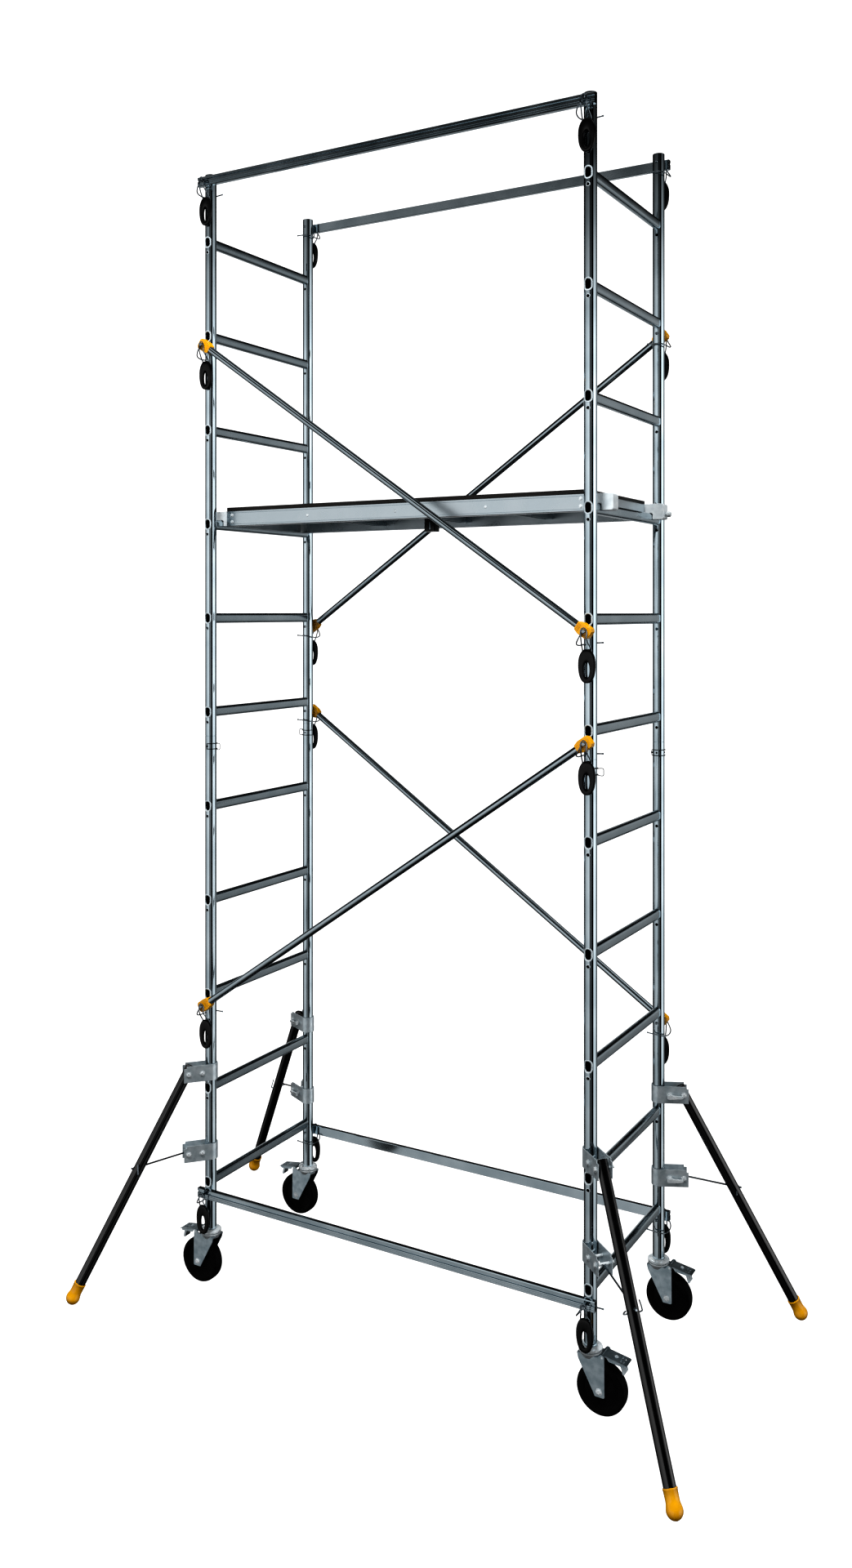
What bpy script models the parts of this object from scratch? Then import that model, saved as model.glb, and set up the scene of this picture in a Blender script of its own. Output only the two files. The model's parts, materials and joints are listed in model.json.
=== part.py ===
"""Mobile tower scaffold: four ladder frames, rails, braces, platform, castors and outriggers.

Metres, +Z up, X along the platform, -Y the front. The origin is on the floor under the
middle of the bounding box. Every corner part is built about its own post, so one shape
serves all four corners.
"""
from math import cos, pi, radians, sin

import bmesh
import bpy
from mathutils import Matrix, Vector

# Tower layout
POST_SPAN_X = 1.220            # post axis to post axis along the platform
POST_SPAN_Y = 0.500            # post axis to post axis across a ladder frame
POST_BOTTOM = 0.164
JOINT_Z = 1.635                # where an upper frame stands on a lower one
POST_TOP = 3.309
RUNG_PITCH = 0.280
RUNG_1_Z = 0.306
LOWER_RUNGS = range(1, 6)
UPPER_RUNGS = range(6, 12)
PLATFORM_RUNG = 8
GAP = 0.0003                   # clearance between parts that touch

# Posts and rungs
POST_R = 0.017
POST_BORE_R = 0.015
SPIGOT_R = POST_BORE_R - GAP
SPIGOT_BORE_R = 0.0125
SPIGOT_LENGTH = 0.075
POST_SIDES = 10
RUNG_WIDTH = 0.020
RUNG_HEIGHT = 0.029
RUNG_CHAMFER = 0.0065
RUNG_WALL = 0.0016
RUNG_END = POST_R + 0.0015     # the rung end stands a little proud of the post
PIN_HOLE_R = 0.0045
PIN_HOLE_DROP = 0.030          # below the centre of each rung
LOCK_HOLE_R = 0.0030
LOCK_HOLE_Z = 1.604

# Rails and braces lie outside the posts
OUTSIDE = RUNG_END + 0.0005    # from the post axis to the inner face of a rail
RAIL_HEIGHT = 0.028
RAIL_DEPTH = 0.014
RAIL_WALL = 0.0018
RAIL_GROOVE = 0.0035
RAIL_OVERHANG = 0.024
BASE_RAIL_Z = RUNG_1_Z - PIN_HOLE_DROP
GUARD_RAIL_Z = 3.284
BRACE_R = 0.010
BRACE_BORE_R = 0.0085
BRACE_SIDES = 10
BRACE_END_LENGTH = 0.045
BRACE_END_HEIGHT = 0.032
BRACE_END_TIP = 0.017          # from the pin to the outer end of the fitting

# Spring-wire hook with its pin and pull handle
PIN_R = 0.0035
PIN_TIP = 0.022
WIRE_R = 0.0018
WIRE_SIDES = 4
WIRE_Y = -0.045                # the wire loop leaves its pin here, outward of the post axis
LOOP_BEND = 0.018              # the loop leans in from this far below its pin
HANDLE_HINGE = (-0.0235, -0.050)       # from the pin hole on the post axis, outward and down
BASE_HANDLE_HINGE = (-0.0362, -0.036)  # the base handles hang short, clear of the castors
HANDLE_THICKNESS = 0.009
HANDLE_EYE_R = 0.0026

# Platform
DECK_HALF_X = 0.585
DECK_HALF_Y = 0.206
DECK_THICKNESS = 0.011
SIDE_HEIGHT = 0.045
SIDE_FLANGE = 0.020
PROFILE_WALL = 0.0025
HOOK_REACH = 0.042             # how far a claw goes past the rung axis
HOOK_WIDTH = 0.036
END_SETBACK = 0.0125           # from the rung axis back to the end profile
CROSS_MEMBERS = (-0.290, 0.008, 0.290)
CROSS_WIDTH = 0.026
CROSS_HEIGHT = 0.030
CATCH_SIZE = (0.036, 0.030, 0.038)

# Castor, built trailing towards +X
WHEEL_R = 0.065
WHEEL_HALF_WIDTH = 0.018
HUB_HALF_WIDTH = 0.020
TRAIL = 0.032
AXLE_R = 0.006
STEM_R = 0.0139
STEM_TOP = 0.215
CHEEK_INNER = 0.0205
CHEEK_THICKNESS = 0.003
PEDAL_HINGE = (0.040, 0.1520)
PEDAL_HALF_WIDTH = 0.0195

# Outrigger, built leaning towards +X
OUTRIGGER_REACH = 0.398        # post axis to foot centre
LONG_REACH = 0.415             # the front right leg is set wider
FOOT_R = 0.0205
UPPER_BRACKET_Z = 0.634
LOWER_BRACKET_Z = 0.398
BRACKET_HEIGHT = 0.048
BRACKET_INNER = 0.0180
BRACKET_THICKNESS = 0.0025
BRACKET_LENGTH = 0.082
CLAMP_BOLT_X = 0.0285
PIVOT_BOLT_X = 0.069
BOLT_R = 0.004
LEG_R = 0.015
LEG_BORE_R = 0.013
LEG_TOP = 0.020                # leg length beyond its pivot
LEG_END_GAP = 0.0155           # leg end above the foot centre
STRUT_R = 0.0025
STRUT_ALONG_LEG = 0.425        # where the strut meets the leg, as a part of its length

# Corners: side along X, side along Y, outrigger direction from the X axis, lever side
CORNERS = {
    "front_left": (-1, -1, 48.0, -1),
    "front_right": (1, -1, 41.0, 1),
    "rear_right": (1, 1, 26.0, -1),
    "rear_left": (-1, 1, 26.0, 1),
}
# The front legs stand out further than the rear ones, so the tower is set back by half of that
TOWER_Y = OUTRIGGER_REACH * (sin(radians(48.0)) - sin(radians(26.0))) / 2

MATERIALS = {
    "aluminium": ((0.70, 0.73, 0.76, 1.0), 1.0, 0.32),
    "steel": ((0.56, 0.60, 0.64, 1.0), 1.0, 0.38),
    "bracket_steel": ((0.42, 0.47, 0.51, 1.0), 1.0, 0.45),
    "black_paint": ((0.012, 0.012, 0.013, 1.0), 0.0, 0.45),
    "black_plastic": ((0.010, 0.010, 0.011, 1.0), 0.0, 0.50),
    "yellow_plastic": ((0.80, 0.46, 0.02, 1.0), 0.0, 0.40),
    "rubber": ((0.015, 0.015, 0.015, 1.0), 0.0, 0.80),
    "ply": ((0.020, 0.018, 0.016, 1.0), 0.0, 0.70),
}


# ---------------------------------------------------------------- mesh helpers

def loft(rings, closed=False):
    """Skin a list of rings of points: capped at both ends, or closed into a loop."""
    bm = bmesh.new()
    loops = [[bm.verts.new(point) for point in ring] for ring in rings]
    pairs = list(zip(loops, loops[1:]))
    if closed:
        pairs.append((loops[-1], loops[0]))
    else:
        bm.faces.new(loops[0])
        bm.faces.new(loops[-1])
    for lower, upper in pairs:
        for i in range(len(lower)):
            j = (i + 1) % len(lower)
            bm.faces.new((lower[i], lower[j], upper[j], upper[i]))
    bmesh.ops.recalc_face_normals(bm, faces=bm.faces)
    mesh = bpy.data.meshes.new("solid")
    bm.to_mesh(mesh)
    bm.free()
    return mesh


def joined(meshes):
    """Several separate shells as one mesh."""
    bm = bmesh.new()
    for mesh in meshes:
        bm.from_mesh(mesh)
    result = bpy.data.meshes.new("joined")
    bm.to_mesh(result)
    bm.free()
    return result


def moved(mesh, matrix):
    """A copy of a mesh carried by a matrix."""
    copy = mesh.copy()
    copy.transform(matrix)
    return copy


def combined(base, tool, operation):
    """An exact Boolean of two meshes."""
    body = bpy.data.objects.new("body", base)
    other = bpy.data.objects.new("other", tool)
    for item in (body, other):
        bpy.context.collection.objects.link(item)
    modifier = body.modifiers.new("combine", "BOOLEAN")
    modifier.operation = operation
    modifier.solver = "EXACT"
    modifier.object = other
    graph = bpy.context.evaluated_depsgraph_get()
    result = bpy.data.meshes.new_from_object(body.evaluated_get(graph))
    for item in (body, other):
        bpy.data.objects.remove(item)
    return result


def united(meshes):
    """Overlapping solids as one solid."""
    result = meshes[0]
    for mesh in meshes[1:]:
        result = combined(result, mesh, "UNION")
    return result


def add_part(name, mesh, slot):
    """Make the named object with its own material."""
    color, metallic, roughness = MATERIALS[slot]
    material = bpy.data.materials.new(name + "_" + slot)
    material.use_nodes = True
    shader = material.node_tree.nodes["Principled BSDF"]
    shader.inputs["Base Color"].default_value = color
    shader.inputs["Metallic"].default_value = metallic
    shader.inputs["Roughness"].default_value = roughness
    mesh.materials.clear()
    mesh.materials.append(material)
    mesh.name = name
    part = bpy.data.objects.new(name, mesh)
    bpy.context.collection.objects.link(part)


# ---------------------------------------------------------------- shapes

def circle(radius, sides, turn=0.0):
    """Points of a circle in a plane."""
    angles = [turn + 2 * pi * i / sides for i in range(sides)]
    return [(radius * cos(angle), radius * sin(angle)) for angle in angles]


def prism(profile, axis, start, end):
    """A profile of two coordinates, drawn out along the X, Y or Z axis."""
    order = {"X": lambda a, b, t: (t, a, b), "Y": lambda a, b, t: (a, t, b), "Z": lambda a, b, t: (a, b, t)}
    place = order[axis]
    return loft([[place(a, b, t) for a, b in profile] for t in (start, end)])


def hollow_prism(outer, inner, axis, start, end):
    """A tube between two profiles with the same number of points, open at both ends."""
    order = {"X": lambda a, b, t: (t, a, b), "Z": lambda a, b, t: (a, b, t)}
    place = order[axis]
    layers = ((outer, start), (outer, end), (inner, end), (inner, start))
    return loft([[place(a, b, t) for a, b in profile] for profile, t in layers], closed=True)


def box(size, centre):
    """A box of the given size round a centre."""
    half_x, half_y, half_z = (value / 2 for value in size)
    x, y, z = centre
    corners = [(x - half_x, y - half_y), (x + half_x, y - half_y), (x + half_x, y + half_y), (x - half_x, y + half_y)]
    return prism(corners, "Z", z - half_z, z + half_z)


def turned(profile, sides, closed=False):
    """Points (radius, height) turned about the Z axis."""
    rings = [[(x, y, height) for x, y in circle(radius, sides)] for radius, height in profile]
    return loft(rings, closed)


def rod(path, radius, sides, closed=False):
    """A round bar along a path of points; a closed path lies roughly in a plane of constant Y."""
    points = [Vector(point) for point in path]
    count = len(points)
    steps = [(points[(i + 1) % count] - points[i]).normalized() for i in range(count if closed else count - 1)]
    side = Vector((0, 1, 0)) if closed else steps[0].orthogonal().normalized()
    rings = []
    for i, point in enumerate(points):
        before = steps[i - 1] if i > 0 or closed else steps[0]
        after = steps[i] if i < len(steps) else steps[-1]
        along = (before + after).normalized()
        side = (side - along * side.dot(along)).normalized()
        across = along.cross(side)
        stretch = 1 / max(0.5, along.dot(after))
        rings.append([point + side * a + across * (b * stretch) for a, b in circle(radius, sides)])
    return loft(rings, closed)


def chamfered(width, height, chamfer):
    """An eight-sided outline about the origin."""
    a, b, c = width / 2, height / 2, chamfer
    return [(a, b - c), (a - c, b), (c - a, b), (-a, b - c), (-a, c - b), (c - a, -b), (a - c, -b), (a, c - b)]


def shifted(profile, a, b):
    """A flat profile moved in its plane."""
    return [(x + a, y + b) for x, y in profile]


# ---------------------------------------------------------------- placing

def post_at(corner, height=0.0):
    """A point on a corner's post axis."""
    side_x, side_y = CORNERS[corner][:2]
    return Vector((side_x * POST_SPAN_X / 2, TOWER_Y + side_y * POST_SPAN_Y / 2, height))


def leg_reach(corner):
    return LONG_REACH if corner == "front_right" else OUTRIGGER_REACH


def handle_hinge(name):
    """Where a handle hangs on its wire loop."""
    return BASE_HANDLE_HINGE if name.startswith("base") else HANDLE_HINGE


def facing_out(corner, height):
    """Post frame whose -Y points out of the tower's long side."""
    turn = pi if CORNERS[corner][1] > 0 else 0.0
    return Matrix.Translation(post_at(corner, height)) @ Matrix.Rotation(turn, 4, "Z")


def outrigger_frame(corner):
    """Post frame whose +X points along the outrigger."""
    side_x, side_y, angle, _ = CORNERS[corner]
    direction = Vector((side_x * cos(radians(angle)), side_y * sin(radians(angle)), 0))
    turn = Vector((1, 0, 0)).rotation_difference(direction).to_matrix().to_4x4()
    return Matrix.Translation(post_at(corner)) @ turn


def rung_z(number):
    return RUNG_1_Z + RUNG_PITCH * (number - 1)


def pin_z(number):
    return rung_z(number) - PIN_HOLE_DROP


BRACES = {
    "brace_upper_front": (("front_left", 10), ("front_right", 7)),
    "brace_lower_front": (("front_left", 3), ("front_right", 6)),
    "brace_upper_rear": (("rear_left", 7), ("rear_right", 10)),
    "brace_lower_rear": (("rear_left", 6), ("rear_right", 3)),
}


def clip_places():
    """Every spring hook as (name, corner, height)."""
    places = []
    for corner in CORNERS:
        places.append(("base_" + corner, corner, BASE_RAIL_Z))
        places.append(("guard_" + corner, corner, GUARD_RAIL_Z))
    for name, ends in BRACES.items():
        level = name.split("_")[1]
        for corner, rung in ends:
            places.append((level + "_brace_" + corner, corner, pin_z(rung)))
    return places


# ---------------------------------------------------------------- ladder frames

def lower_post():
    top = JOINT_Z - GAP
    profile = [(POST_R, POST_BOTTOM), (POST_R, top), (POST_BORE_R, top), (POST_BORE_R, POST_BOTTOM)]
    return turned(profile, POST_SIDES, closed=True)


def upper_post():
    """Post with the spigot that stands in the lower post."""
    tip = JOINT_Z - SPIGOT_LENGTH
    root = JOINT_Z + 0.030
    profile = [
        (POST_R, POST_TOP), (POST_R, JOINT_Z), (SPIGOT_R, JOINT_Z), (SPIGOT_R, tip),
        (SPIGOT_BORE_R, tip), (SPIGOT_BORE_R, root), (POST_BORE_R, root), (POST_BORE_R, POST_TOP),
    ]
    return turned(profile, POST_SIDES, closed=True)


def ladder_frame(name, side_x, post, rungs, levels):
    """Two posts, the rung tubes through them and the pin holes."""
    x = side_x * POST_SPAN_X / 2
    ends = [TOWER_Y - POST_SPAN_Y / 2, TOWER_Y + POST_SPAN_Y / 2]
    posts = [moved(post, Matrix.Translation((x, y, 0))) for y in ends]
    outer = chamfered(RUNG_WIDTH, RUNG_HEIGHT, RUNG_CHAMFER)
    wall = 2 * RUNG_WALL
    inner = chamfered(RUNG_WIDTH - wall, RUNG_HEIGHT - wall, RUNG_CHAMFER - RUNG_WALL / 2)
    low, high = ends[0] - RUNG_END, ends[1] + RUNG_END
    tubes = [prism(shifted(outer, x, rung_z(k)), "Y", low, high) for k in rungs]
    bores = [prism(shifted(inner, x, rung_z(k)), "Y", low - 0.01, high + 0.01) for k in rungs]
    holes = []
    for _, corner, height in clip_places():
        place = post_at(corner)
        if abs(place.x - x) < 0.01 and levels[0] < height < levels[1]:
            hole = shifted(circle(PIN_HOLE_R, 6), x, height)
            holes.append(prism(hole, "Y", place.y - 0.025, place.y + 0.025))
    for y in ends:
        hole = shifted(circle(LOCK_HOLE_R, 6), x, LOCK_HOLE_Z)
        holes.append(prism(hole, "Y", y - 0.025, y + 0.025))
    frame = combined(joined(posts), joined(tubes), "UNION")
    frame = combined(frame, joined(bores), "DIFFERENCE")
    frame = combined(frame, joined(holes), "DIFFERENCE")
    add_part(name, frame, "aluminium")


# ---------------------------------------------------------------- spring hooks

def spring_hook(hinge):
    """Pin, hanging wire loop and the wire that springs round the post."""
    pin = prism(circle(PIN_R, 6), "Y", WIRE_Y - 0.003, PIN_TIP)
    right = [(0.004, WIRE_Y, 0.002), (0.009, WIRE_Y, -LOOP_BEND), (0.0135, *hinge)]
    left = [(-x, y, z) for x, y, z in reversed(right)]
    loop = rod(right + left, WIRE_R, WIRE_SIDES, closed=True)
    spring = rod([(0, WIRE_Y + 0.0012, 0), (-0.014, WIRE_Y + 0.002, -0.018), (-0.0245, -0.034, -0.033),
                  (-0.0265, -0.012, -0.036), (-0.0235, 0.013, -0.034), (-0.013, 0.0235, -0.031),
                  (0.026, 0.0230, -0.029)], WIRE_R, WIRE_SIDES)
    return united([pin, loop, spring])


def pull_handle():
    """Ring handle with a long hole, built about the wire through its neck."""
    side = [(0.0085, 0.0045), (0.0085, -0.0050), (0.0170, -0.0095), (0.0220, -0.0180),
            (0.0230, -0.0320), (0.0215, -0.0520), (0.0150, -0.0720), (0.0060, -0.0790)]
    outline = side + [(-a, b) for a, b in reversed(side)]
    hole = [(0.0050, -0.0290), (0.0090, -0.0370), (0.0090, -0.0500), (0.0050, -0.0660)]
    hole += [(-a, b) for a, b in reversed(hole)]
    half = HANDLE_THICKNESS / 2
    body = prism(outline, "Y", -half, half)
    slot = prism(hole, "Y", -0.01, 0.01)
    eye = prism(circle(HANDLE_EYE_R, 8, pi / 8), "X", -0.025, 0.025)
    return combined(body, joined([slot, eye]), "DIFFERENCE")


def pull_handles():
    handle = pull_handle()
    for name, corner, height in clip_places():
        out, down = handle_hinge(name)
        place = facing_out(corner, height + down) @ Matrix.Translation((0, out, 0))
        add_part("clip_handle_" + name, moved(handle, place), "black_plastic")


# ---------------------------------------------------------------- rails and braces

def rail_profiles():
    """Outer and inner outline of the grooved rail in the YZ plane."""
    a, b = -OUTSIDE - RAIL_DEPTH, -OUTSIDE
    top, groove = RAIL_HEIGHT / 2, RAIL_GROOVE
    outer = [(b, -top), (b, top), (a, top), (a, 0.006), (a + groove, 0.0045), (a + groove, 0.0015), (a, 0.0), (a, -top)]
    wall = RAIL_WALL
    inner = [(b - wall, wall - top), (b - wall, top - wall), (a + wall, top - wall), (a + wall, 0.0075),
             (a + groove + wall, 0.0055), (a + groove + wall, 0.0005), (a + wall, -0.0015), (a + wall, wall - top)]
    return outer, inner


def rail(name, corners, height):
    """A grooved rail with a spring hook at each end."""
    places = [facing_out(corner, height) for corner in corners]
    middle = sum((post_at(corner, height) for corner in corners), Vector()) / 2
    turn = places[0].to_3x3().to_4x4()
    outer, inner = rail_profiles()
    half = POST_SPAN_X / 2 + RAIL_OVERHANG
    body = moved(hollow_prism(outer, inner, "X", -half, half), Matrix.Translation(middle) @ turn)
    hooks = [moved(spring_hook(handle_hinge(name)), place) for place in places]
    add_part(name, united([body] + hooks), "aluminium")


def brace(name, ends):
    """A round tube between two pins, with an end fitting and a spring hook at each."""
    places = [facing_out(corner, pin_z(rung)) for corner, rung in ends]
    outward = -(OUTSIDE + BRACE_R)
    starts = [place @ Vector((0, outward, 0)) for place in places]
    along = (starts[1] - starts[0]).normalized()
    tube = rod([starts[0] - along * BRACE_END_TIP, starts[1] + along * BRACE_END_TIP], BRACE_R, BRACE_SIDES)
    margin = BRACE_END_TIP + 0.01
    bore = rod([starts[0] - along * margin, starts[1] + along * margin], BRACE_BORE_R, BRACE_SIDES)
    solids = [tube]
    for start, direction in zip(starts, (along, -along)):
        across = Vector((0, 1, 0))
        up = direction.cross(across)
        turn = Matrix((direction, across, up)).transposed().to_4x4()
        centre = (BRACE_END_LENGTH / 2 - BRACE_END_TIP, 0, 0)
        fitting = box((BRACE_END_LENGTH, 2 * BRACE_R + 0.0004, BRACE_END_HEIGHT), centre)
        solids.append(moved(fitting, Matrix.Translation(start) @ turn))
    body = combined(united(solids), bore, "DIFFERENCE")
    hooks = [moved(spring_hook(handle_hinge(name)), place) for place in places]
    add_part(name, united([body] + hooks), "aluminium")


def rails_and_braces():
    for side in ("front", "rear"):
        corners = (side + "_left", side + "_right")
        rail("base_rail_" + side, corners, BASE_RAIL_Z)
        rail("guard_rail_" + side, corners, GUARD_RAIL_Z)
    for name, ends in BRACES.items():
        brace(name, ends)


# ---------------------------------------------------------------- platform

def platform_heights():
    """Top of the frame, its underside and the hook seat."""
    seat = rung_z(PLATFORM_RUNG) + RUNG_HEIGHT / 2 + GAP
    top = seat + 0.0265
    return top, top - SIDE_HEIGHT, seat


def side_channel(side_y, top, bottom):
    """Edge profile of the platform, a channel open towards the middle."""
    outer, web, flange = DECK_HALF_Y, DECK_HALF_Y - PROFILE_WALL, DECK_HALF_Y - SIDE_FLANGE
    wall = PROFILE_WALL
    profile = [(outer, bottom), (outer, top), (flange, top), (flange, top - wall),
               (web, top - wall), (web, bottom + wall), (flange, bottom + wall), (flange, bottom)]
    profile = [(TOWER_Y + side_y * a, b) for a, b in profile]
    return prism(profile, "X", -DECK_HALF_X, DECK_HALF_X)


def end_profile(side_x, top, bottom):
    """End profile between the claws, a channel that stops short of the rung."""
    rung_x = POST_SPAN_X / 2
    wall, inner, outer = PROFILE_WALL, -0.030, -END_SETBACK
    profile = [(inner, bottom), (outer, bottom), (outer, top), (inner, top), (inner, top - wall),
               (outer - wall, top - wall), (outer - wall, bottom + wall), (inner, bottom + wall)]
    profile = [(side_x * (rung_x + a), b) for a, b in profile]
    return prism(profile, "Y", TOWER_Y - DECK_HALF_Y + 0.001, TOWER_Y + DECK_HALF_Y - 0.001)


def rung_hook(side_x, side_y, top, bottom, seat):
    """Solid claw over the rung at a corner of the platform."""
    rung_x = POST_SPAN_X / 2
    jaw = RUNG_WIDTH / 2 + 0.0006
    profile = [(-0.0295, bottom), (-0.0295, top - 0.0005), (HOOK_REACH + 0.001, top - 0.0005),
               (HOOK_REACH + 0.001, bottom), (jaw, bottom), (jaw, seat), (-jaw, seat), (-jaw, bottom)]
    profile = [(side_x * (rung_x + a), b) for a, b in profile]
    outer = TOWER_Y + side_y * (DECK_HALF_Y - 0.0005)
    inner = TOWER_Y + side_y * (DECK_HALF_Y - HOOK_WIDTH)
    return prism(profile, "Y", min(outer, inner), max(outer, inner))


def cross_member(x, top):
    """Channel under the deck, open downwards."""
    half, wall = CROSS_WIDTH / 2, PROFILE_WALL
    bottom = top - CROSS_HEIGHT
    profile = [(x - half, bottom), (x - half, top), (x + half, top), (x + half, bottom),
               (x + half - wall, bottom), (x + half - wall, top - wall),
               (x - half + wall, top - wall), (x - half + wall, bottom)]
    reach = DECK_HALF_Y - PROFILE_WALL / 2
    return prism(profile, "Y", TOWER_Y - reach, TOWER_Y + reach)


def platform():
    top, bottom, seat = platform_heights()
    solids = [side_channel(side, top, bottom) for side in (-1, 1)]
    for side_x in (-1, 1):
        solids.append(end_profile(side_x, top - 0.0002, bottom + 0.0002))
        solids += [rung_hook(side_x, side_y, top, bottom + 0.0004, seat) for side_y in (-1, 1)]
    solids += [cross_member(x, top - 0.0004) for x in CROSS_MEMBERS]
    add_part("platform_frame", united(solids), "aluminium")
    size = (2 * DECK_HALF_X, 2 * DECK_HALF_Y, DECK_THICKNESS)
    deck = box(size, (0, TOWER_Y, top + GAP + DECK_THICKNESS / 2))
    add_part("platform_deck", deck, "ply")
    catch_top = top - CROSS_HEIGHT - 0.0004 - GAP
    catch = box(CATCH_SIZE, (CROSS_MEMBERS[1], TOWER_Y, catch_top - CATCH_SIZE[2] / 2))
    add_part("platform_catch", catch, "black_plastic")


# ---------------------------------------------------------------- castors

def castor_fork():
    """Stem, swivel head, two tapered cheeks and the axle."""
    head = [(0.028, 0.1390), (0.029, 0.1480), (0.031, 0.1505), (0.031, POST_BOTTOM - GAP),
            (STEM_R, POST_BOTTOM - GAP), (STEM_R, STEM_TOP)]
    solids = [turned(head, 14)]
    hinge_x, hinge_z = PEDAL_HINGE
    cheek = [(-0.0275, 0.1485), (hinge_x - 0.006, 0.1495), (hinge_x - 0.004, hinge_z + 0.005),
             (hinge_x + 0.004, hinge_z + 0.005), (hinge_x + 0.007, hinge_z - 0.002), (TRAIL + 0.014, 0.058),
             (TRAIL + 0.008, 0.051), (TRAIL - 0.006, 0.051), (TRAIL - 0.013, 0.058), (-0.0240, 0.1340)]
    for inner in (CHEEK_INNER, -CHEEK_INNER - CHEEK_THICKNESS):
        solids.append(prism(cheek, "Y", inner, inner + CHEEK_THICKNESS))
    axle_end = CHEEK_INNER + CHEEK_THICKNESS / 2
    solids.append(prism(shifted(circle(AXLE_R, 10), TRAIL, WHEEL_R), "Y", -axle_end, axle_end))
    bolt = shifted(circle(0.008, 6), TRAIL, WHEEL_R)
    for side in (-1, 1):
        ends = (side * (axle_end - 0.0005), side * (CHEEK_INNER + CHEEK_THICKNESS + 0.004))
        solids.append(prism(bolt, "Y", min(ends), max(ends)))
    return united(solids)


def castor_wheel():
    """Wheel turned about its axle, with a plain bore."""
    bore = AXLE_R + 0.0008
    half = [(bore, HUB_HALF_WIDTH), (0.0130, HUB_HALF_WIDTH), (0.0180, 0.0130), (0.0460, 0.0130),
            (0.0570, WHEEL_HALF_WIDTH), (WHEEL_R, 0.0115)]
    profile = half + [(radius, -side) for radius, side in reversed(half)]
    rings = [[(TRAIL + a, side, WHEEL_R + b) for a, b in circle(radius, 18, pi / 2)] for radius, side in profile]
    return loft(rings, closed=True)


def brake_pedal():
    """Foot pedal between the fork cheeks, with the brake tab under its tip."""
    hinge_x, hinge_z = PEDAL_HINGE
    barrel = prism(shifted(circle(0.0042, 8), hinge_x, hinge_z), "Y", -PEDAL_HALF_WIDTH, PEDAL_HALF_WIDTH)
    plate = [(hinge_x, hinge_z + 0.0034), (0.052, 0.1545), (0.1030, 0.1465), (0.1015, 0.1410),
             (0.0990, 0.1425), (0.052, 0.1512), (hinge_x, hinge_z + 0.0005)]
    tab = [(0.080, 0.1480), (0.089, 0.1470), (0.0965, 0.1210), (0.0910, 0.1180)]
    half = PEDAL_HALF_WIDTH - 0.0005
    return united([barrel, prism(plate, "Y", -half, half), prism(tab, "Y", -0.012, 0.012)])


def castors():
    parts = {"fork": (castor_fork(), "steel"), "wheel": (castor_wheel(), "rubber"), "pedal": (brake_pedal(), "steel")}
    for corner, (side_x, *_) in CORNERS.items():
        turn = Matrix.Rotation(0.0 if side_x > 0 else pi, 4, "Z")
        place = Matrix.Translation(post_at(corner)) @ turn
        for kind, (mesh, slot) in parts.items():
            add_part("castor_" + kind + "_" + corner, moved(mesh, place), slot)


# ---------------------------------------------------------------- outriggers

def clamp_bracket(height, lever_side):
    """Sheet strap round the post with two cheeks, its clamp bolt, cam lever and pivot bolt."""
    inner, outer = BRACKET_INNER, BRACKET_INNER + BRACKET_THICKNESS
    bends = [pi / 2 + pi * i / 6 for i in range(7)]
    outside = [(outer * cos(a), outer * sin(a)) for a in bends]
    inside = [(inner * cos(a), inner * sin(a)) for a in reversed(bends)]
    profile = [(BRACKET_LENGTH, outer)] + outside + [(BRACKET_LENGTH, -outer), (BRACKET_LENGTH, -inner)]
    profile += inside + [(BRACKET_LENGTH, inner)]
    half = BRACKET_HEIGHT / 2
    solids = [prism(profile, "Z", height - half, height + half)]
    for x in (CLAMP_BOLT_X, PIVOT_BOLT_X):
        solids.append(prism(shifted(circle(BOLT_R, 6), x, height), "Y", -outer - 0.002, outer + 0.002))
        for side in (-1, 1):
            ends = (side * (outer - 0.0005), side * (outer + 0.005))
            solids.append(prism(shifted(circle(0.0065, 6), x, height), "Y", min(ends), max(ends)))
    lever_y = lever_side * (outer + 0.0085)
    solids.append(box((0.044, 0.008, 0.010), (CLAMP_BOLT_X + 0.014, lever_y, height - 0.002)))
    return united(solids)


def leg_ends(reach):
    """Pivot and foot centre of a leg in the outrigger frame."""
    return Vector((PIVOT_BOLT_X, 0, UPPER_BRACKET_Z)), Vector((reach, 0, FOOT_R))


def leg_frame(reach):
    """Frame at the foot centre with +Z up along the leg."""
    pivot, foot = leg_ends(reach)
    along = (pivot - foot).normalized()
    across = Vector((0, 1, 0))
    turn = Matrix((across.cross(along), across, along)).transposed().to_4x4()
    return Matrix.Translation(foot) @ turn, (pivot - foot).length


def outrigger_leg(reach):
    """Tube leg with the wire strut that props it from the lower bracket."""
    place, length = leg_frame(reach)
    tube = hollow_prism(circle(LEG_R, 12), circle(LEG_BORE_R, 12), "Z", LEG_END_GAP, length + LEG_TOP)
    hole = prism(shifted(circle(BOLT_R + 0.0004, 8, pi / 8), 0, length), "Y", -0.03, 0.03)
    tube = moved(combined(tube, hole, "DIFFERENCE"), place)
    pivot, foot = leg_ends(reach)
    joint = pivot.lerp(foot, STRUT_ALONG_LEG)
    start = Vector((PIVOT_BOLT_X + 0.0065, 0, LOWER_BRACKET_Z))
    beyond = joint + (joint - start).normalized() * (LEG_R + 0.008)
    return united([tube, rod([start, beyond], STRUT_R, 6)])


def outrigger_foot(reach):
    """Plastic ball foot with the sleeve that takes the leg."""
    place, _ = leg_frame(reach)
    profile = [(0.0060, -0.0196), (0.0125, -0.01625), (0.0180, -0.0098), (FOOT_R, 0.0), (0.0195, 0.0070),
               (0.0178, 0.0140), (0.0172, 0.0430), (LEG_R + GAP, 0.0430), (LEG_R + GAP, LEG_END_GAP - GAP)]
    return moved(turned(profile, 12), place)


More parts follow.
